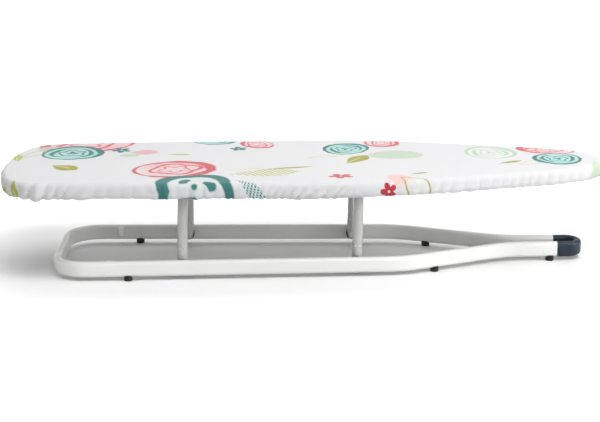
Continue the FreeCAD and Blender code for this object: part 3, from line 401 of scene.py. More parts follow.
def outer_loop(name, height):
    """The outer outline of a piece at a height, point by point."""
    shape = bmesh.new()
    shape.from_mesh(nodes[name].data)
    bmesh.ops.remove_doubles(shape, verts=shape.verts, dist=0.001 * MM)
    everything = shape.verts[:] + shape.edges[:] + shape.faces[:]
    cut = bmesh.ops.bisect_plane(shape, geom=everything, plane_co=(0, 0, height), plane_no=(0, 0, 1))
    edges = {part for part in cut["geom_cut"] if isinstance(part, bmesh.types.BMEdge)}
    points = [part for part in cut["geom_cut"] if isinstance(part, bmesh.types.BMVert)]
    here = max(points, key=lambda point: point.co.x)
    loop = []
    while edges:
        way = next((edge for edge in here.link_edges if edge in edges), None)
        if way is None:
            break
        loop.append(here.co.xy[:])
        edges.remove(way)
        here = way.other_vert(here)
    shape.free()
    return np.array(loop)


def evenly_spaced(loop, count):
    closed = np.vstack([loop, loop[:1]])
    along = np.concatenate([[0], np.cumsum(np.linalg.norm(np.diff(closed, axis=0), axis=1))])
    wanted = np.linspace(0, along[-1], count, endpoint=False)
    return np.stack([np.interp(wanted, along, closed[:, axis]) for axis in (0, 1)], axis=1)


board_low, board_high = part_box("cover")
board_top = board_high.z
outline = evenly_spaced(outer_loop("cover", (board_low.z + board_high.z) / 2), EDGE_COUNT)
if np.cross(outline, np.roll(outline, -1, axis=0)).sum() < 0:
    outline = outline[::-1]
for _ in range(SMOOTHING_PASSES):
    outline = outline / 2 + (np.roll(outline, 1, axis=0) + np.roll(outline, -1, axis=0)) / 4
along_edge = np.roll(outline, -1, axis=0) - np.roll(outline, 1, axis=0)
along_edge /= np.linalg.norm(along_edge, axis=1)[:, None]
outward = np.stack([along_edge[:, 1], -along_edge[:, 0]], axis=1)
edge_step = float(np.linalg.norm(np.roll(outline, -1, axis=0) - outline, axis=1).mean())
print("outline:", EDGE_COUNT, "points,", round(edge_step / MM, 2), "mm apart")

# %% [markdown]
# ## Sheets of points
# Pad and cover are both built from rings: copies of the outline, moved in or out and up or down along a
# profile. Neighbouring rings are joined by quads. The middle is filled with even triangles, which bend the
# same way in every direction and so suit cloth.

# %% Rings and fill
def ring(out, height):
    """The outline moved out by a distance, at a height."""
    flat = outline + outward * np.reshape(out, (-1, 1))
    return np.column_stack([flat, np.broadcast_to(height, len(flat))])


def quads_between(first, second):
    """Faces that join two rings, given the number of each ring's first point."""
    places = [(step, (step + 1) % EDGE_COUNT) for step in range(EDGE_COUNT)]
    return [(first + here, second + here, second + there, first + there) for here, there in places]


def even_fill(edge, spacing):
    """Points and triangles that fill a closed flat edge, the edge's own points first."""
    low, high = edge.min(axis=0), edge.max(axis=0)
    rows = np.arange(low[1] + spacing, high[1], spacing * math.sqrt(0.75))
    inside = []
    ahead = np.roll(edge, -1, axis=0)
    for number, row in enumerate(rows):
        for place in np.arange(low[0] + spacing * (0.5 + number % 2 / 2), high[0], spacing):
            crossing = (edge[:, 1] > row) != (ahead[:, 1] > row)
            share = (row - edge[crossing, 1]) / (ahead[crossing, 1] - edge[crossing, 1])
            meets = edge[crossing, 0] + share * (ahead[crossing, 0] - edge[crossing, 0])
            clear = np.hypot(*(edge - (place, row)).T).min() > spacing * 0.6
            if (meets > place).sum() % 2 and clear:
                inside.append((place, row))
    points = [Vector(point) for point in [*edge, *inside]]
    bounds = [(here, (here + 1) % len(edge)) for here in range(len(edge))]
    _, _, faces, origins, _, _ = delaunay_2d_cdt(points, bounds, [], 1, 0.01 * MM)
    order = [origin[0] for origin in origins]
    return np.array(points), [tuple(order[corner] for corner in face) for face in faces]


def mesh_object(name, points, faces):
    mesh = bpy.data.meshes.new(name)
    mesh.from_pydata([tuple(point) for point in points], [], faces)
    mesh.update()
    made = bpy.data.objects.new(name, mesh)
    bpy.context.scene.collection.objects.link(made)
    return made


print("ring of", len(ring(0, 0)), "points")

# %% [markdown]
# ## The foam pad
# The pad is cut from a sheet of foam a few millimetres thick, and the cover pulls its upper edge round. Its
# profile runs from the underside, up the cut edge and over the rounded shoulder. It is hidden from above, but
# the slots of the steel top show it from below, so it is a closed piece with the cover's own rounding.

# %% Pad
PAD_SIDE = 2.2 * MM
PAD_ROUNDING = 7.0 * MM
PAD_FILL_SPACING = 9.0 * MM
pad_low, pad_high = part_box("pad")
pad_profile = [(-PAD_SIDE - 1.2 * MM, pad_low.z), (-PAD_SIDE, pad_low.z + 0.8 * MM)]
for turn in np.radians([0, 18, 36, 54, 72, 90]):
    out = -PAD_SIDE - PAD_ROUNDING * (1 - math.cos(turn))
    pad_profile.append((out, pad_high.z - 0.4 * MM - (PAD_ROUNDING - 1 * MM) * (1 - math.sin(turn))))
inset, middle_faces = even_fill(ring(pad_profile[-1][0], 0)[:, :2], PAD_FILL_SPACING)
lower, lower_faces = even_fill(ring(pad_profile[0][0], 0)[:, :2], PAD_FILL_SPACING)
pad_points = [ring(out, height) for out, height in pad_profile]
pad_faces = []
for number in range(len(pad_profile) - 1):
    pad_faces += quads_between(number * EDGE_COUNT, (number + 1) * EDGE_COUNT)
last = (len(pad_profile) - 1) * EDGE_COUNT
pad_points.append(np.column_stack([inset[EDGE_COUNT:], np.full(len(inset) - EDGE_COUNT, pad_profile[-1][1])]))
pad_faces += [tuple(last + corner for corner in face) for face in middle_faces]
under_start = last + len(inset)
pad_points.append(np.column_stack([lower[EDGE_COUNT:], np.full(len(lower) - EDGE_COUNT, pad_low.z)]))


def under(corner):
    """Where a point of the underside's fill is in the whole list."""
    return corner if corner < EDGE_COUNT else under_start + corner - EDGE_COUNT


pad_faces += [tuple(under(corner) for corner in reversed(face)) for face in lower_faces]
pad = mesh_object("foam_pad", np.vstack(pad_points), pad_faces)
begin()
pad.select_set(True)
bpy.context.view_layer.objects.active = pad
bpy.ops.object.mode_set(mode="EDIT")
bpy.ops.mesh.select_all(action="SELECT")
bpy.ops.mesh.normals_make_consistent(inside=False)
bpy.ops.object.mode_set(mode="OBJECT")
bpy.ops.object.shade_smooth_by_angle(angle=math.radians(50))
pad.data.materials.append(foam)
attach(pad, "board")
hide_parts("pad")
print("pad faces:", len(pad.data.polygons))

# %% [markdown]
# ## The cover
# The cover is a flat piece of cotton, cut like the board but larger all round. Its edge goes over the rounded
# shoulder, down the side, round the rim tube, and ends under the board in a hem with elastic in it. At a
# corner the flat edge is longer than the path that it has to lie on, so it gathers. The cloth is laid round
# the board in ripples that hold the spare cloth. A short cloth simulation, which knows the shape it was cut
# to, then loosens them a little, with the middle and the hem held.
#
# The profile gives, for each distance along the cloth from the start of the shoulder, how far out it is
# and how high.

# %% Profile of the cover
CLOTH_THICKNESS = 0.5 * MM
SHOULDER = 8.5 * MM
RIM_ROUNDING = 5.0 * MM
SIDE_INSET = 0.9 * MM
HEM_RUN = 13.0 * MM
HEM_ROLL = 1.7 * MM
cloth_top = board_top - CLOTH_THICKNESS
hem_level = board_low.z + 0.8 * MM
side_height = cloth_top - SHOULDER - hem_level - RIM_ROUNDING
BENDS = (
    ("arc", SHOULDER, math.pi / 2),
    ("run", side_height, 0.0),
    ("arc", RIM_ROUNDING, math.pi / 2),
    ("run", HEM_RUN, 0.0),
    ("arc", HEM_ROLL, -1.6 * math.pi),
)


def profile_at(distance):
    """How far out, how high, and which way the cloth faces, at a distance past the flat top."""
    out, height, heading = -SIDE_INSET - SHOULDER, cloth_top, 0.0
    if distance <= 0:
        return out + distance, height, math.pi / 2
    for kind, size, turn in BENDS:
        length = size if kind == "run" else size * abs(turn)
        part = min(distance, length)
        if kind == "run":
            out += part * math.cos(heading)
            height -= part * math.sin(heading)
        else:
            side = math.copysign(1, turn)
            after = heading + part / size * side
            out += size * side * (math.sin(after) - math.sin(heading))
            height -= size * side * (math.cos(heading) - math.cos(after))
            heading = after
        distance -= part
        if distance <= 0:
            break
    return out, height, math.pi / 2 - heading


cloth_past_top = sum(size if kind == "run" else size * abs(turn) for kind, size, turn in BENDS)
print("cloth past the flat top:", round(cloth_past_top / MM, 1), "mm")

# %% [markdown]
# Folds are placed where such a cover gathers most: thick at the back corners, soft ones that slant
# along the sides, and fine ones towards the nose. The ripple is one wave whose length and height change along
# the edge, so no two folds are alike. It is a row of rounded hills with narrow valleys, as drawn cloth has,
# and it grows from the shoulder downwards. The random numbers have a seed.

# %% Where folds form
SEED = 11
FOLD_DEPTH = 1.25
SHORTEST_WAVE, LONGEST_WAVE = 5 * MM, 30 * MM
HILL_ROUNDNESS = 0.8
MOST_SPARE = 1.3
LAID_IN = 27.0 * MM
LAID_STEP = 3.0 * MM
random.seed(SEED)
edge_turn = np.arctan2(
    along_edge[:, 0] * np.roll(along_edge, -1, axis=0)[:, 1]
    - along_edge[:, 1] * np.roll(along_edge, -1, axis=0)[:, 0],
    (along_edge * np.roll(along_edge, -1, axis=0)).sum(axis=1),
)
bend = np.convolve(np.tile(edge_turn, 3), np.ones(15) / 15, "same")[EDGE_COUNT : 2 * EDGE_COUNT] / edge_step
# Each row: where along the board in metres, which side, half length in metres, extra cloth, slant.
LOOSE_STRETCHES = (
    (-0.425, -1, 0.045, 1.30, 0.35),
    (-0.350, -1, 0.032, 0.95, 0.7),
    (-0.222, -1, 0.016, 0.90, -0.9),
    (-0.155, -1, 0.022, 0.45, 0.0),
    (-0.110, -1, 0.012, 0.50, 0.3),
    (0.000, -1, 0.062, 1.30, 1.3),
    (0.080, -1, 0.030, 0.70, 1.2),
    (0.200, -1, 0.045, 0.30, 0.3),
    (0.310, -1, 0.070, 0.30, 0.2),
    (0.370, -1, 0.030, 0.22, 0.1),
    (-0.350, 1, 0.040, 0.80, -0.3),
    (-0.180, 1, 0.060, 0.26, -0.8),
    (0.020, 1, 0.080, 0.70, 0.9),
    (0.170, 1, 0.050, 0.24, 0.4),
    (0.310, 1, 0.060, 0.24, 0.2),
)
extra_cloth = np.full(EDGE_COUNT, 0.03)
slant = np.zeros(EDGE_COUNT)
for place, side, half, extra, lean in LOOSE_STRETCHES:
    near = (np.sign(outline[:, 1]) == side) * np.exp(-(((outline[:, 0] - place) / half) ** 2))
    extra_cloth += near * extra
    slant += near * lean
phase = np.zeros(EDGE_COUNT)
turn_so_far = 0.0
wave = 14.0 * MM
for point in range(EDGE_COUNT):
    phase[point] = turn_so_far
    wave += (random.uniform(SHORTEST_WAVE, LONGEST_WAVE) - wave) * 0.16
    turn_so_far += 2 * math.pi * edge_step / wave
phase *= round(turn_so_far / (2 * math.pi)) * 2 * math.pi / turn_so_far
uneven = [random.uniform(0.25, 1.0) for _ in range(EDGE_COUNT)]
heights = np.convolve(np.tile(uneven, 3), np.ones(9) / 9, "same")[EDGE_COUNT : 2 * EDGE_COUNT]
print("folds round the edge:", round(phase[-1] / (2 * math.pi)))

# %% Lay the cloth
def ripple_at(distance, hidden_share):
    """Height of the ripple on each point of a ring, from the cloth it has to take up."""
    wave_length = 2 * math.pi * edge_step / np.gradient(phase)
    grown = min(max(distance / (0.5 * cloth_past_top), 0.0), 1.0)
    from_corner = hidden_share * np.maximum(bend, 0) * max(distance, 0)
    spare = np.clip(extra_cloth * grown + from_corner, 0, MOST_SPARE)
    tall = FOLD_DEPTH * wave_length / math.pi * np.sqrt(spare) * heights
    shifted = phase + slant * distance * 2 * math.pi / wave_length
    return tall * np.abs(np.sin(shifted / 2)) ** HILL_ROUNDNESS * min(grown * 3, 1)


distances = [-LAID_IN + LAID_STEP * step for step in range(int((LAID_IN + cloth_past_top) / LAID_STEP) + 1)]
laid, flat, faces = [], [], []
for number, distance in enumerate(distances):
    out, height, faced = profile_at(distance)
    lift = ripple_at(distance, 0.55)
    laid.append(ring(out + lift * math.cos(faced), height + lift * math.sin(faced)))
    flat.append(ring(distance - SIDE_INSET - SHOULDER, ripple_at(distance, 0.0)))
    if number:
        faces += quads_between((number - 1) * EDGE_COUNT, number * EDGE_COUNT)
FILL_SPACING = 7.0 * MM
filled, fill_faces = even_fill(laid[0][:, :2], FILL_SPACING)
start = len(distances) * EDGE_COUNT


def filled_place(corner):
    """Where a point of the middle is in the whole list: the first ring is the fill's own edge."""
    return corner if corner < EDGE_COUNT else start + corner - EDGE_COUNT


faces = faces + [tuple(map(filled_place, face)) for face in fill_faces]
middle = filled[EDGE_COUNT:]
laid_points = np.vstack([*laid, np.column_stack([middle, np.full(len(middle), cloth_top)])])
flat_points = np.vstack([*flat, np.column_stack([middle, np.zeros(len(middle))])])
cover = mesh_object("cotton_cover", laid_points, faces)
print("cloth points:", len(laid_points), "faces:", len(faces))

# %% [markdown]
# The cloth's UV map holds the flat pattern in metres, so the print is laid out as on the uncut cloth and
# follows each fold. A second map holds the distance along the edge and the distance from the flat top, which
# the stitching at the hem reads.

# %% Flat pattern as UV
pattern = cover.data.uv_layers.new(name="pattern")
edge_map = cover.data.uv_layers.new(name="edge")
corners = np.zeros(len(cover.data.loops), int)
cover.data.loops.foreach_get("vertex_index", corners)
pattern.data.foreach_set("uv", flat_points[corners, :2].astype(np.float32).ravel())
along = np.zeros(len(laid_points))
past = np.full(len(laid_points), -LAID_IN)
for number, distance in enumerate(distances):
    ring_slice = slice(number * EDGE_COUNT, (number + 1) * EDGE_COUNT)
    along[ring_slice] = np.arange(EDGE_COUNT) * edge_step
    past[ring_slice] = distance
edge_map.data.foreach_set("uv", np.column_stack([along, past])[corners].astype(np.float32).ravel())
cover.data.uv_layers.active = pattern

# %% [markdown]
# The board under the cloth stops it from falling inwards. A smooth body with the pad's shoulder and the rim
# tube's rounding stands for it, and is deleted afterwards. The middle of the cover and its hem are pinned,
# and pinning fades over the shoulder. A long run would smooth the laid folds away, so the run is short, and
# no point may move more than 0.6 millimetres. It gives the folds their small unevenness.

# %% Let the cover gather
GATHER_FRAMES = 12
HOLD_FADE = 16.0 * MM
MOST_MOVED = 0.6 * MM


def board_body():
    """The closed smooth body that the cloth lies on."""
    gap = 0.9 * MM
    rings = []
    for distance in np.arange(0, cloth_past_top - 1.6 * math.pi * HEM_ROLL, 2.4 * MM):
        out, height, faced = profile_at(distance)
        rings.append(ring(out - gap * math.cos(faced), height - gap * math.sin(faced)))
    faces = [tuple(range(EDGE_COUNT))]
    for number in range(1, len(rings)):
        faces += quads_between((number - 1) * EDGE_COUNT, number * EDGE_COUNT)
    faces.append(tuple(reversed(range((len(rings) - 1) * EDGE_COUNT, len(rings) * EDGE_COUNT))))
    return mesh_object("board_body", np.vstack(rings), faces)


def gather(cloth, rest_points, held):
    """Runs the cloth and returns where its points end up."""
    body = board_body()
    body.modifiers.new("collision", "COLLISION")
    body.collision.thickness_outer = 0.4 * MM
    body.collision.cloth_friction = 6
    cloth.shape_key_add(name="laid")
    cut = cloth.shape_key_add(name="cut")
    cut.data.foreach_set("co", rest_points.astype(np.float32).ravel())
    cut.value = 0.0
    group = cloth.vertex_groups.new(name="held")
    for weight in np.unique(held.round(2)):
        if weight > 0:
            group.add(np.flatnonzero(held.round(2) == weight).tolist(), float(weight), "REPLACE")
    cloth_modifier = cloth.modifiers.new("cloth", "CLOTH")
    settings = cloth_modifier.settings
    settings.quality = 7
    settings.mass = 0.12
    settings.tension_stiffness = settings.compression_stiffness = 60
    settings.shear_stiffness = 25
    settings.bending_stiffness = 0.01
    settings.tension_damping = settings.compression_damping = 8
    settings.air_damping = 2
    settings.vertex_group_mass = "held"
    settings.pin_stiffness = 1.0
    settings.rest_shape_key = cut
    settings.effector_weights.gravity = 0.3
    cloth_modifier.collision_settings.distance_min = 0.4 * MM
    cloth_modifier.collision_settings.collision_quality = 2
    cloth_modifier.point_cache.frame_start = 1
    cloth_modifier.point_cache.frame_end = GATHER_FRAMES
    scene = bpy.context.scene
    for step in range(1, GATHER_FRAMES + 1):
        scene.frame_set(step)
        bpy.context.view_layer.update()
    shown = cloth.evaluated_get(bpy.context.evaluated_depsgraph_get())
    result = np.zeros(len(shown.data.vertices) * 3)
    shown.data.vertices.foreach_get("co", result)
    cloth.modifiers.remove(cloth_modifier)
    cloth.shape_key_clear()
    scene.frame_set(1)
    bpy.data.objects.remove(body)
    return result.reshape(-1, 3)


held = np.ones(len(laid_points))
free_start, free_end = 2 * MM, cloth_past_top - 1.6 * math.pi * HEM_ROLL - 3 * MM
for number, distance in enumerate(distances):
    into = min(distance - free_start, free_end - distance)
    held[number * EDGE_COUNT : (number + 1) * EDGE_COUNT] = 1 - min(max(into / HOLD_FADE * 2, 0), 1)
gathered = gather(cover, flat_points, held)
moved = gathered - laid_points
far = np.linalg.norm(moved, axis=1)[:, None]
gathered = laid_points + moved * np.minimum(1, MOST_MOVED / np.maximum(far, 1e-9))
cover.data.vertices.foreach_set("co", gathered.astype(np.float32).ravel())
cover.data.update()
print("cloth moved before the cap:", round(float(far.mean()) / MM, 2), "mm on average")

# %% [markdown]
# ## The printed cotton
# The print is a loose scatter of roses drawn as rings, leaves, small blossoms and a few pale dabs, in teal,
# coral, lime and pale green. Each kind of motif is drawn once, as a node group that works on a unit circle.
# A Mapping node in the group puts each copy at its place on the flat cloth, at its own size and angle. A
# motif lays its ink over the colour that comes in, so the copies are chained one after another.

# %% Motif groups
MOTIF_REACH = 1.06


def motif_group(name, draw):
    """A node group that prints one kind of motif: draw gives the share of each of two inks."""
    group = bpy.data.node_groups.new(name, "ShaderNodeTree")
    for socket_name in ("Flat Place", "Middle", "Turn", "Size"):
        group.interface.new_socket(socket_name, in_out="INPUT", socket_type="NodeSocketVector")
    for socket_name in ("Cloth", "Ink", "Second Ink"):
        group.interface.new_socket(socket_name, in_out="INPUT", socket_type="NodeSocketColor")
    group.interface.new_socket("Printed", in_out="OUTPUT", socket_type="NodeSocketColor")
    given = group.nodes.new("NodeGroupInput").outputs
    mapping = group.nodes.new("ShaderNodeMapping")
    mapping.vector_type = "TEXTURE"
    mapped = {"Vector": "Flat Place", "Location": "Middle", "Rotation": "Turn", "Scale": "Size"}
    for into, source in mapped.items():
        group.links.new(given[source], mapping.inputs[into])
    spot = mapping.outputs["Vector"]
    parts = group.nodes.new("ShaderNodeSeparateXYZ")
    group.links.new(spot, parts.inputs["Vector"])
    across, along_spot = Field(group, parts.outputs["X"]), Field(group, parts.outputs["Y"])
    radius = (across * across + along_spot * along_spot).step("SQRT")
    angle = along_spot.step("ARCTAN2", across)
    wobble = noise(group, spot, 2.4, 1.0) - 0.5
    first, second = draw(across, along_spot, radius, angle, wobble)
    reach = inside(radius, MOTIF_REACH)
    printed = blended(group, second * reach, given["Cloth"], given["Second Ink"])
    printed = blended(group, first * reach, printed, given["Ink"])
    group.links.new(printed, group.nodes.new("NodeGroupOutput").inputs["Printed"])
    return group


def sine(field, times, shift=0.0):
    return (field * times + shift).step("SINE")


def inside(distance, limit, soft=0.03):
    """1 where a distance is under its limit, with a soft edge."""
    return (distance * -1 + limit).ramp(-soft, soft)


def ring_rose(across, along_spot, radius, angle, wobble):
    """Three uneven rings that open and close round a heart, on a paler disc."""
    uneven = radius + wobble * 0.16 + sine(angle, 3, 0.6) * 0.03
    outer = inside((uneven - 0.90).step("ABSOLUTE"), sine(angle, 1, 0.9) * 0.035 + 0.075)
    middle = inside((uneven - 0.62).step("ABSOLUTE"), sine(angle, 2, 2.2) * 0.035 + 0.045)
    petals = inside((uneven - 0.38 - sine(angle, 5) * 0.05).step("ABSOLUTE"), 0.035)
    heart = inside(uneven + sine(angle, 3) * 0.04, 0.13)
    lines = outer.step("MAXIMUM", middle).step("MAXIMUM", petals).step("MAXIMUM", heart)
    return lines, inside(uneven, 0.93) * 0.85


def open_rose(across, along_spot, radius, angle, wobble):
    """A rose of thick crescents with dotted shading on one side."""
    uneven = radius + wobble * 0.2
    off_centre = across - 0.10
    crescent = inside((off_centre * off_centre + along_spot * along_spot).step("SQRT") - wobble * 0.2, 0.80)
    rim = inside(uneven, 0.96) - crescent
    inner = inside((uneven - 0.55 - sine(angle, 4, 1.0) * 0.05).step("ABSOLUTE"), 0.05)
    dots = inside(sine(across, 46) * sine(along_spot, 46), -0.25, 0.15) * inside(uneven, 0.96)
    petals = inside((uneven - 0.30 - sine(angle, 5, 0.4) * 0.07).step("ABSOLUTE"), 0.03)
    shade = inside(uneven, 0.98) * (along_spot * -1).ramp(-0.1, 0.5) * dots
    pale = inside(uneven, 0.80) * 0.30
    return rim.step("MAXIMUM", inner).step("MAXIMUM", petals), shade.step("MAXIMUM", pale)


def leaf_width(across):
    """Half the width of a leaf that is one long each way."""
    return (across * across * -1 + 1) * (across * 0.18 + 0.36)


def leaf(across, along_spot, radius, angle, wobble):
    """A plain leaf with a pale vein."""
    side = along_spot.step("ABSOLUTE") + wobble * 0.06
    whole = inside(side, leaf_width(across))
    vein = inside((along_spot - 0.03).step("ABSOLUTE"), 0.035) * (across * -1 + 0.5).ramp(0, 0.3)
    return whole * (vein * -1 + 1), whole * vein * 0.6


def hatched_leaf(across, along_spot, radius, angle, wobble):
    """A leaf filled with slanting rows of short strokes, on a paler ground."""
    side = along_spot.step("ABSOLUTE") + wobble * 0.05
    whole = inside(side, leaf_width(across))
    rows = sine(across * 0.9 + along_spot * 0.5, 44).ramp(-0.25, 0.15)
    strokes = sine(along_spot * 1.1 - across * 0.2, 52).ramp(-0.45, -0.05)
    return whole * rows * strokes, whole * 0.35


def line_leaf(across, along_spot, radius, angle, wobble):
    """The outline of a leaf, drawn with one uneven line."""
    side = along_spot.step("ABSOLUTE") - leaf_width(across) + wobble * 0.05
    vein = inside(along_spot.step("ABSOLUTE"), 0.018) * inside(across.step("ABSOLUTE"), 0.7)
    return inside(side.step("ABSOLUTE"), 0.028) * inside(radius, 1.02), vein * 0.7


def blossom(across, along_spot, radius, angle, wobble):
    """Five round petals and an open heart."""
    petal = (sine(angle, 2.5, 0.3).step("ABSOLUTE") * 0.48 + 0.46) - wobble * 0.1
    whole = inside(radius, petal)
    heart = inside(radius, 0.13)
    return whole * (heart * -1 + 1), whole * heart


def dab(across, along_spot, radius, angle, wobble):
    """A pale dab of the brush."""
    uneven = radius + wobble * 0.5
    return inside(uneven, 0.8, 0.05) * 0.8, inside(uneven, 0.9, 0.3) * 0.3


def big_bloom(across, along_spot, radius, angle, wobble):
    """A broad flower cut from thick curls: an outer lobed band, and drops that turn round the heart."""
    lobes = (sine(angle, 2.0, 0.35).step("ABSOLUTE") * 0.14 + 0.84) + wobble * 0.08
    band = inside(radius, lobes) - inside(radius, lobes - 0.27 - sine(angle, 3, 0.8) * 0.05)
    turned = angle + radius * 1.7
    drops = inside((radius - 0.36).step("ABSOLUTE"), sine(turned, 3) * 0.13 + 0.02)
    heart = inside(radius, 0.07)
    return band.step("MAXIMUM", drops).step("MAXIMUM", heart), inside(radius, lobes) * 0.12


MOTIFS = {draw.__name__: motif_group(draw.__name__, draw) for draw in (
    ring_rose, open_rose, leaf, hatched_leaf, line_leaf, blossom, dab, big_bloom)}
print("motifs:", ", ".join(MOTIFS))

# %% [markdown]
# The inks are flat colours, as a screen print's are. The list says where each motif goes: its middle in
# millimetres from the board's middle, half its length and width, its turn in degrees, and its inks.

# %% Inks and the layout of the print
INKS = {
    "teal": (0.012, 0.121, 0.112, 1),
    "deep_teal": (0.007, 0.081, 0.084, 1),
    "pale_teal": (0.258, 0.482, 0.447, 1),
    "coral": (0.434, 0.059, 0.074, 1),
    "pink": (0.619, 0.224, 0.224, 1),
    "pale_pink": (0.593, 0.370, 0.335, 1),
    "red": (0.347, 0.007, 0.022, 1),
    "lime": (0.322, 0.347, 0.053, 1),
    "olive": (0.260, 0.248, 0.019, 1),
    "pale_lime": (0.482, 0.499, 0.258, 1),
    "mint": (0.318, 0.426, 0.296, 1),
    "pale_mint": (0.399, 0.440, 0.370, 1),
    "white": (0.533, 0.533, 0.542, 1),
}
PRINT = (
    ("open_rose", -362, 128, 84, 62, 20, "coral", "pink"),
    ("dab", -415, 96, 30, 22, 0, "pale_mint", "pale_mint"),
    ("ring_rose", -378, 66, 52, 50, 10, "teal", "pale_teal"),
    ("line_leaf", -440, 60, 34, 26, 60, "lime", "pale_lime"),
    ("leaf", -462, 34, 26, 22, 100, "lime", "pale_lime"),
    ("leaf", -377, -34, 27, 44, -38, "olive", "lime"),
    ("blossom", -300, 84, 17, 19, 20, "teal", "white"),
    ("dab", -283, 46, 20, 13, 10, "mint", "pale_mint"),
    ("hatched_leaf", -262, 68, 24, 46, 0, "coral", "pink"),
    ("leaf", -205, 50, 22, 13, -6, "lime", "pale_lime"),
    ("open_rose", -203, -52, 68, 56, 190, "coral", "pink"),
    ("big_bloom", -168, -150, 64, 66, 20, "teal", "pale_teal"),
    ("hatched_leaf", -80, -158, 44, 28, -52, "deep_teal", "pale_teal"),
    ("hatched_leaf", -64, -80, 56, 60, 8, "olive", "pale_lime"),
    ("leaf", -30, -50, 42, 11, 12, "olive", "lime"),
    ("leaf", -98, -55, 34, 9, 10, "pale_lime", "pale_lime"),
    ("blossom", -108, 88, 16, 15, 0, "teal", "white"),
    ("open_rose", -78, 120, 26, 34, 40, "coral", "pink"),
    ("ring_rose", 68, 80, 43, 38, 60, "teal", "pale_teal"),
    ("open_rose", 130, 122, 32, 30, 120, "coral", "pink"),
    ("ring_rose", 146, 34, 45, 30, 0, "pale_mint", "mint"),
    ("line_leaf", 34, 30, 34, 22, 24, "lime", "pale_lime"),
    ("leaf", 82, 4, 34, 40, 58, "olive", "lime"),
    ("blossom", 52, -106, 15, 21, 90, "coral", "white"),
    ("dab", 138, -122, 22, 26, 0, "pale_pink", "pale_pink"),
    ("blossom", 123, -155, 14, 15, 12, "red", "white"),
    ("leaf", 172, -92, 15, 10, 20, "olive", "lime"),
    ("line_leaf", 164, -140, 34, 46, -50, "olive", "pale_lime"),
    ("ring_rose", 300, 44, 42, 46, 30, "mint", "white"),
    ("leaf", 321, -24, 24, 15, 26, "olive", "lime"),
    ("line_leaf", 354, -28, 24, 26, 30, "lime", "pale_lime"),
    ("open_rose", 392, 62, 50, 30, -20, "coral", "pink"),
    ("ring_rose", 402, -2, 40, 40, 200, "teal", "pale_teal"),
    ("dab", 470, -52, 26, 34, 20, "mint", "pale_mint"),
    ("leaf", -446, -140, 24, 17, 76, "lime", "pale_lime"),
    ("leaf", -466, -124, 24, 15, 100, "lime", "pale_lime"),
    ("ring_rose", -150, 158, 40, 40, 0, "teal", "pale_teal"),
    ("blossom", 10, 160, 18, 18, 40, "coral", "white"),
    ("blossom", 240, 146, 15, 15, 70, "red", "white"),
)
print("motifs placed:", len(PRINT))

# %% [markdown]
# The cloth itself is plain-weave cotton: warp and weft cross about every half millimetre. Two crossed waves
# in the pattern's own metres give that relief, with slubs from noise. Cotton scatters light, so it is rough,
# with a little sheen from loose fibres. A painted highlight makes the colour, ink included, slightly paler
# on the threads' crowns. A row of stitches runs along the hem.

# %% Printed cotton
THREAD = 0.55 * MM
STITCH = 3.2 * MM


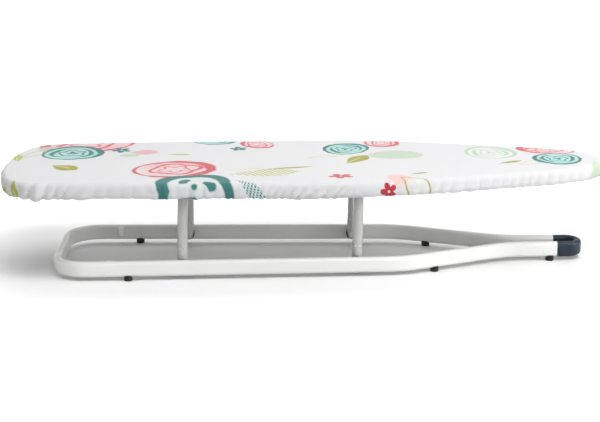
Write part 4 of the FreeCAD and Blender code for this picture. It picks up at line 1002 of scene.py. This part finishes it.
def printed_cotton():
    material, tree, shader, _ = new_material("printed_cotton")
    edge_place = tree.nodes.new("ShaderNodeUVMap")
    edge_place.uv_map = "edge"
    pattern_place = tree.nodes.new("ShaderNodeUVMap")
    pattern_place.uv_map = "pattern"
    flat_place = pattern_place.outputs["UV"]
    parts = tree.nodes.new("ShaderNodeSeparateXYZ")
    tree.links.new(flat_place, parts.inputs["Vector"])
    warp = sine(Field(tree, parts.outputs["X"]), 2 * math.pi / THREAD)
    weft = sine(Field(tree, parts.outputs["Y"]), 2 * math.pi / THREAD)
    slubs = noise(tree, flat_place, 900.0, 2.0)
    weave = (warp * weft * 0.5 + 0.5) * 0.7 + slubs * 0.5
    clouds = noise(tree, flat_place, 14.0, 3.0)
    colour = blended(tree, clouds * 0.5, (0.515, 0.515, 0.524, 1), (0.495, 0.495, 0.503, 1))
    for kind, x, y, half_long, half_wide, turn, ink, second in PRINT:
        stamp = tree.nodes.new("ShaderNodeGroup")
        stamp.node_tree = MOTIFS[kind]
        tree.links.new(flat_place, stamp.inputs["Flat Place"])
        stamp.inputs["Middle"].default_value = (x * MM, y * MM, 0)
        stamp.inputs["Turn"].default_value = (0, 0, math.radians(turn))
        stamp.inputs["Size"].default_value = (half_long * MM, half_wide * MM, 1)
        connect(tree, colour, stamp.inputs["Cloth"])
        stamp.inputs["Ink"].default_value = INKS[ink]
        stamp.inputs["Second Ink"].default_value = INKS[second]
        colour = stamp.outputs["Printed"]
    # Painted highlight: every thread crown is blended towards a paler grey, on ink and bare cloth alike.
    colour_with_crown_highlight = blended(tree, weave.ramp(0.2, 0.9) * 0.06, colour, (0.70, 0.70, 0.70, 1))
    edge_parts = tree.nodes.new("ShaderNodeSeparateXYZ")
    tree.links.new(edge_place.outputs["UV"], edge_parts.inputs["Vector"])
    run, past = Field(tree, edge_parts.outputs["X"]), Field(tree, edge_parts.outputs["Y"])
    seam_at = cloth_past_top - 2 * math.pi * HEM_ROLL
    on_seam = inside((past - seam_at).step("ABSOLUTE"), 0.35 * MM, 0.1 * MM)
    stitches = on_seam * sine(run, 2 * math.pi / STITCH).ramp(-0.5, -0.2)
    connect(tree, blended(tree, stitches * 0.8, colour_with_crown_highlight, (0.74, 0.74, 0.73, 1)), shader.inputs["Base Color"])
    connect(tree, slubs * 0.10 + 0.80, shader.inputs["Roughness"])
    relief = weave + stitches * 2.5
    connect(tree, bumped(tree, relief, 0.35, 0.12 * MM), shader.inputs["Normal"])
    shader.inputs["Sheen Weight"].default_value = 0.12
    shader.inputs["Sheen Roughness"].default_value = 0.45
    shader.inputs["Specular IOR Level"].default_value = 0.25
    return material


cover.data.materials.append(printed_cotton())
print("cotton nodes:", len(cover.data.materials[0].node_tree.nodes))

# %% [markdown]
# Last, the cloth gets its thickness, inwards, so its outside stays where the simulation put it.

# %% Finish the cover
begin()
cover.select_set(True)
bpy.context.view_layer.objects.active = cover
bpy.ops.object.shade_smooth()
thickness = cover.modifiers.new("thickness", "SOLIDIFY")
thickness.thickness = CLOTH_THICKNESS
thickness.offset = -1
bpy.ops.object.modifier_apply(modifier="thickness")
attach(cover, "board")
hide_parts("cover")
print("cover faces:", len(cover.data.polygons))
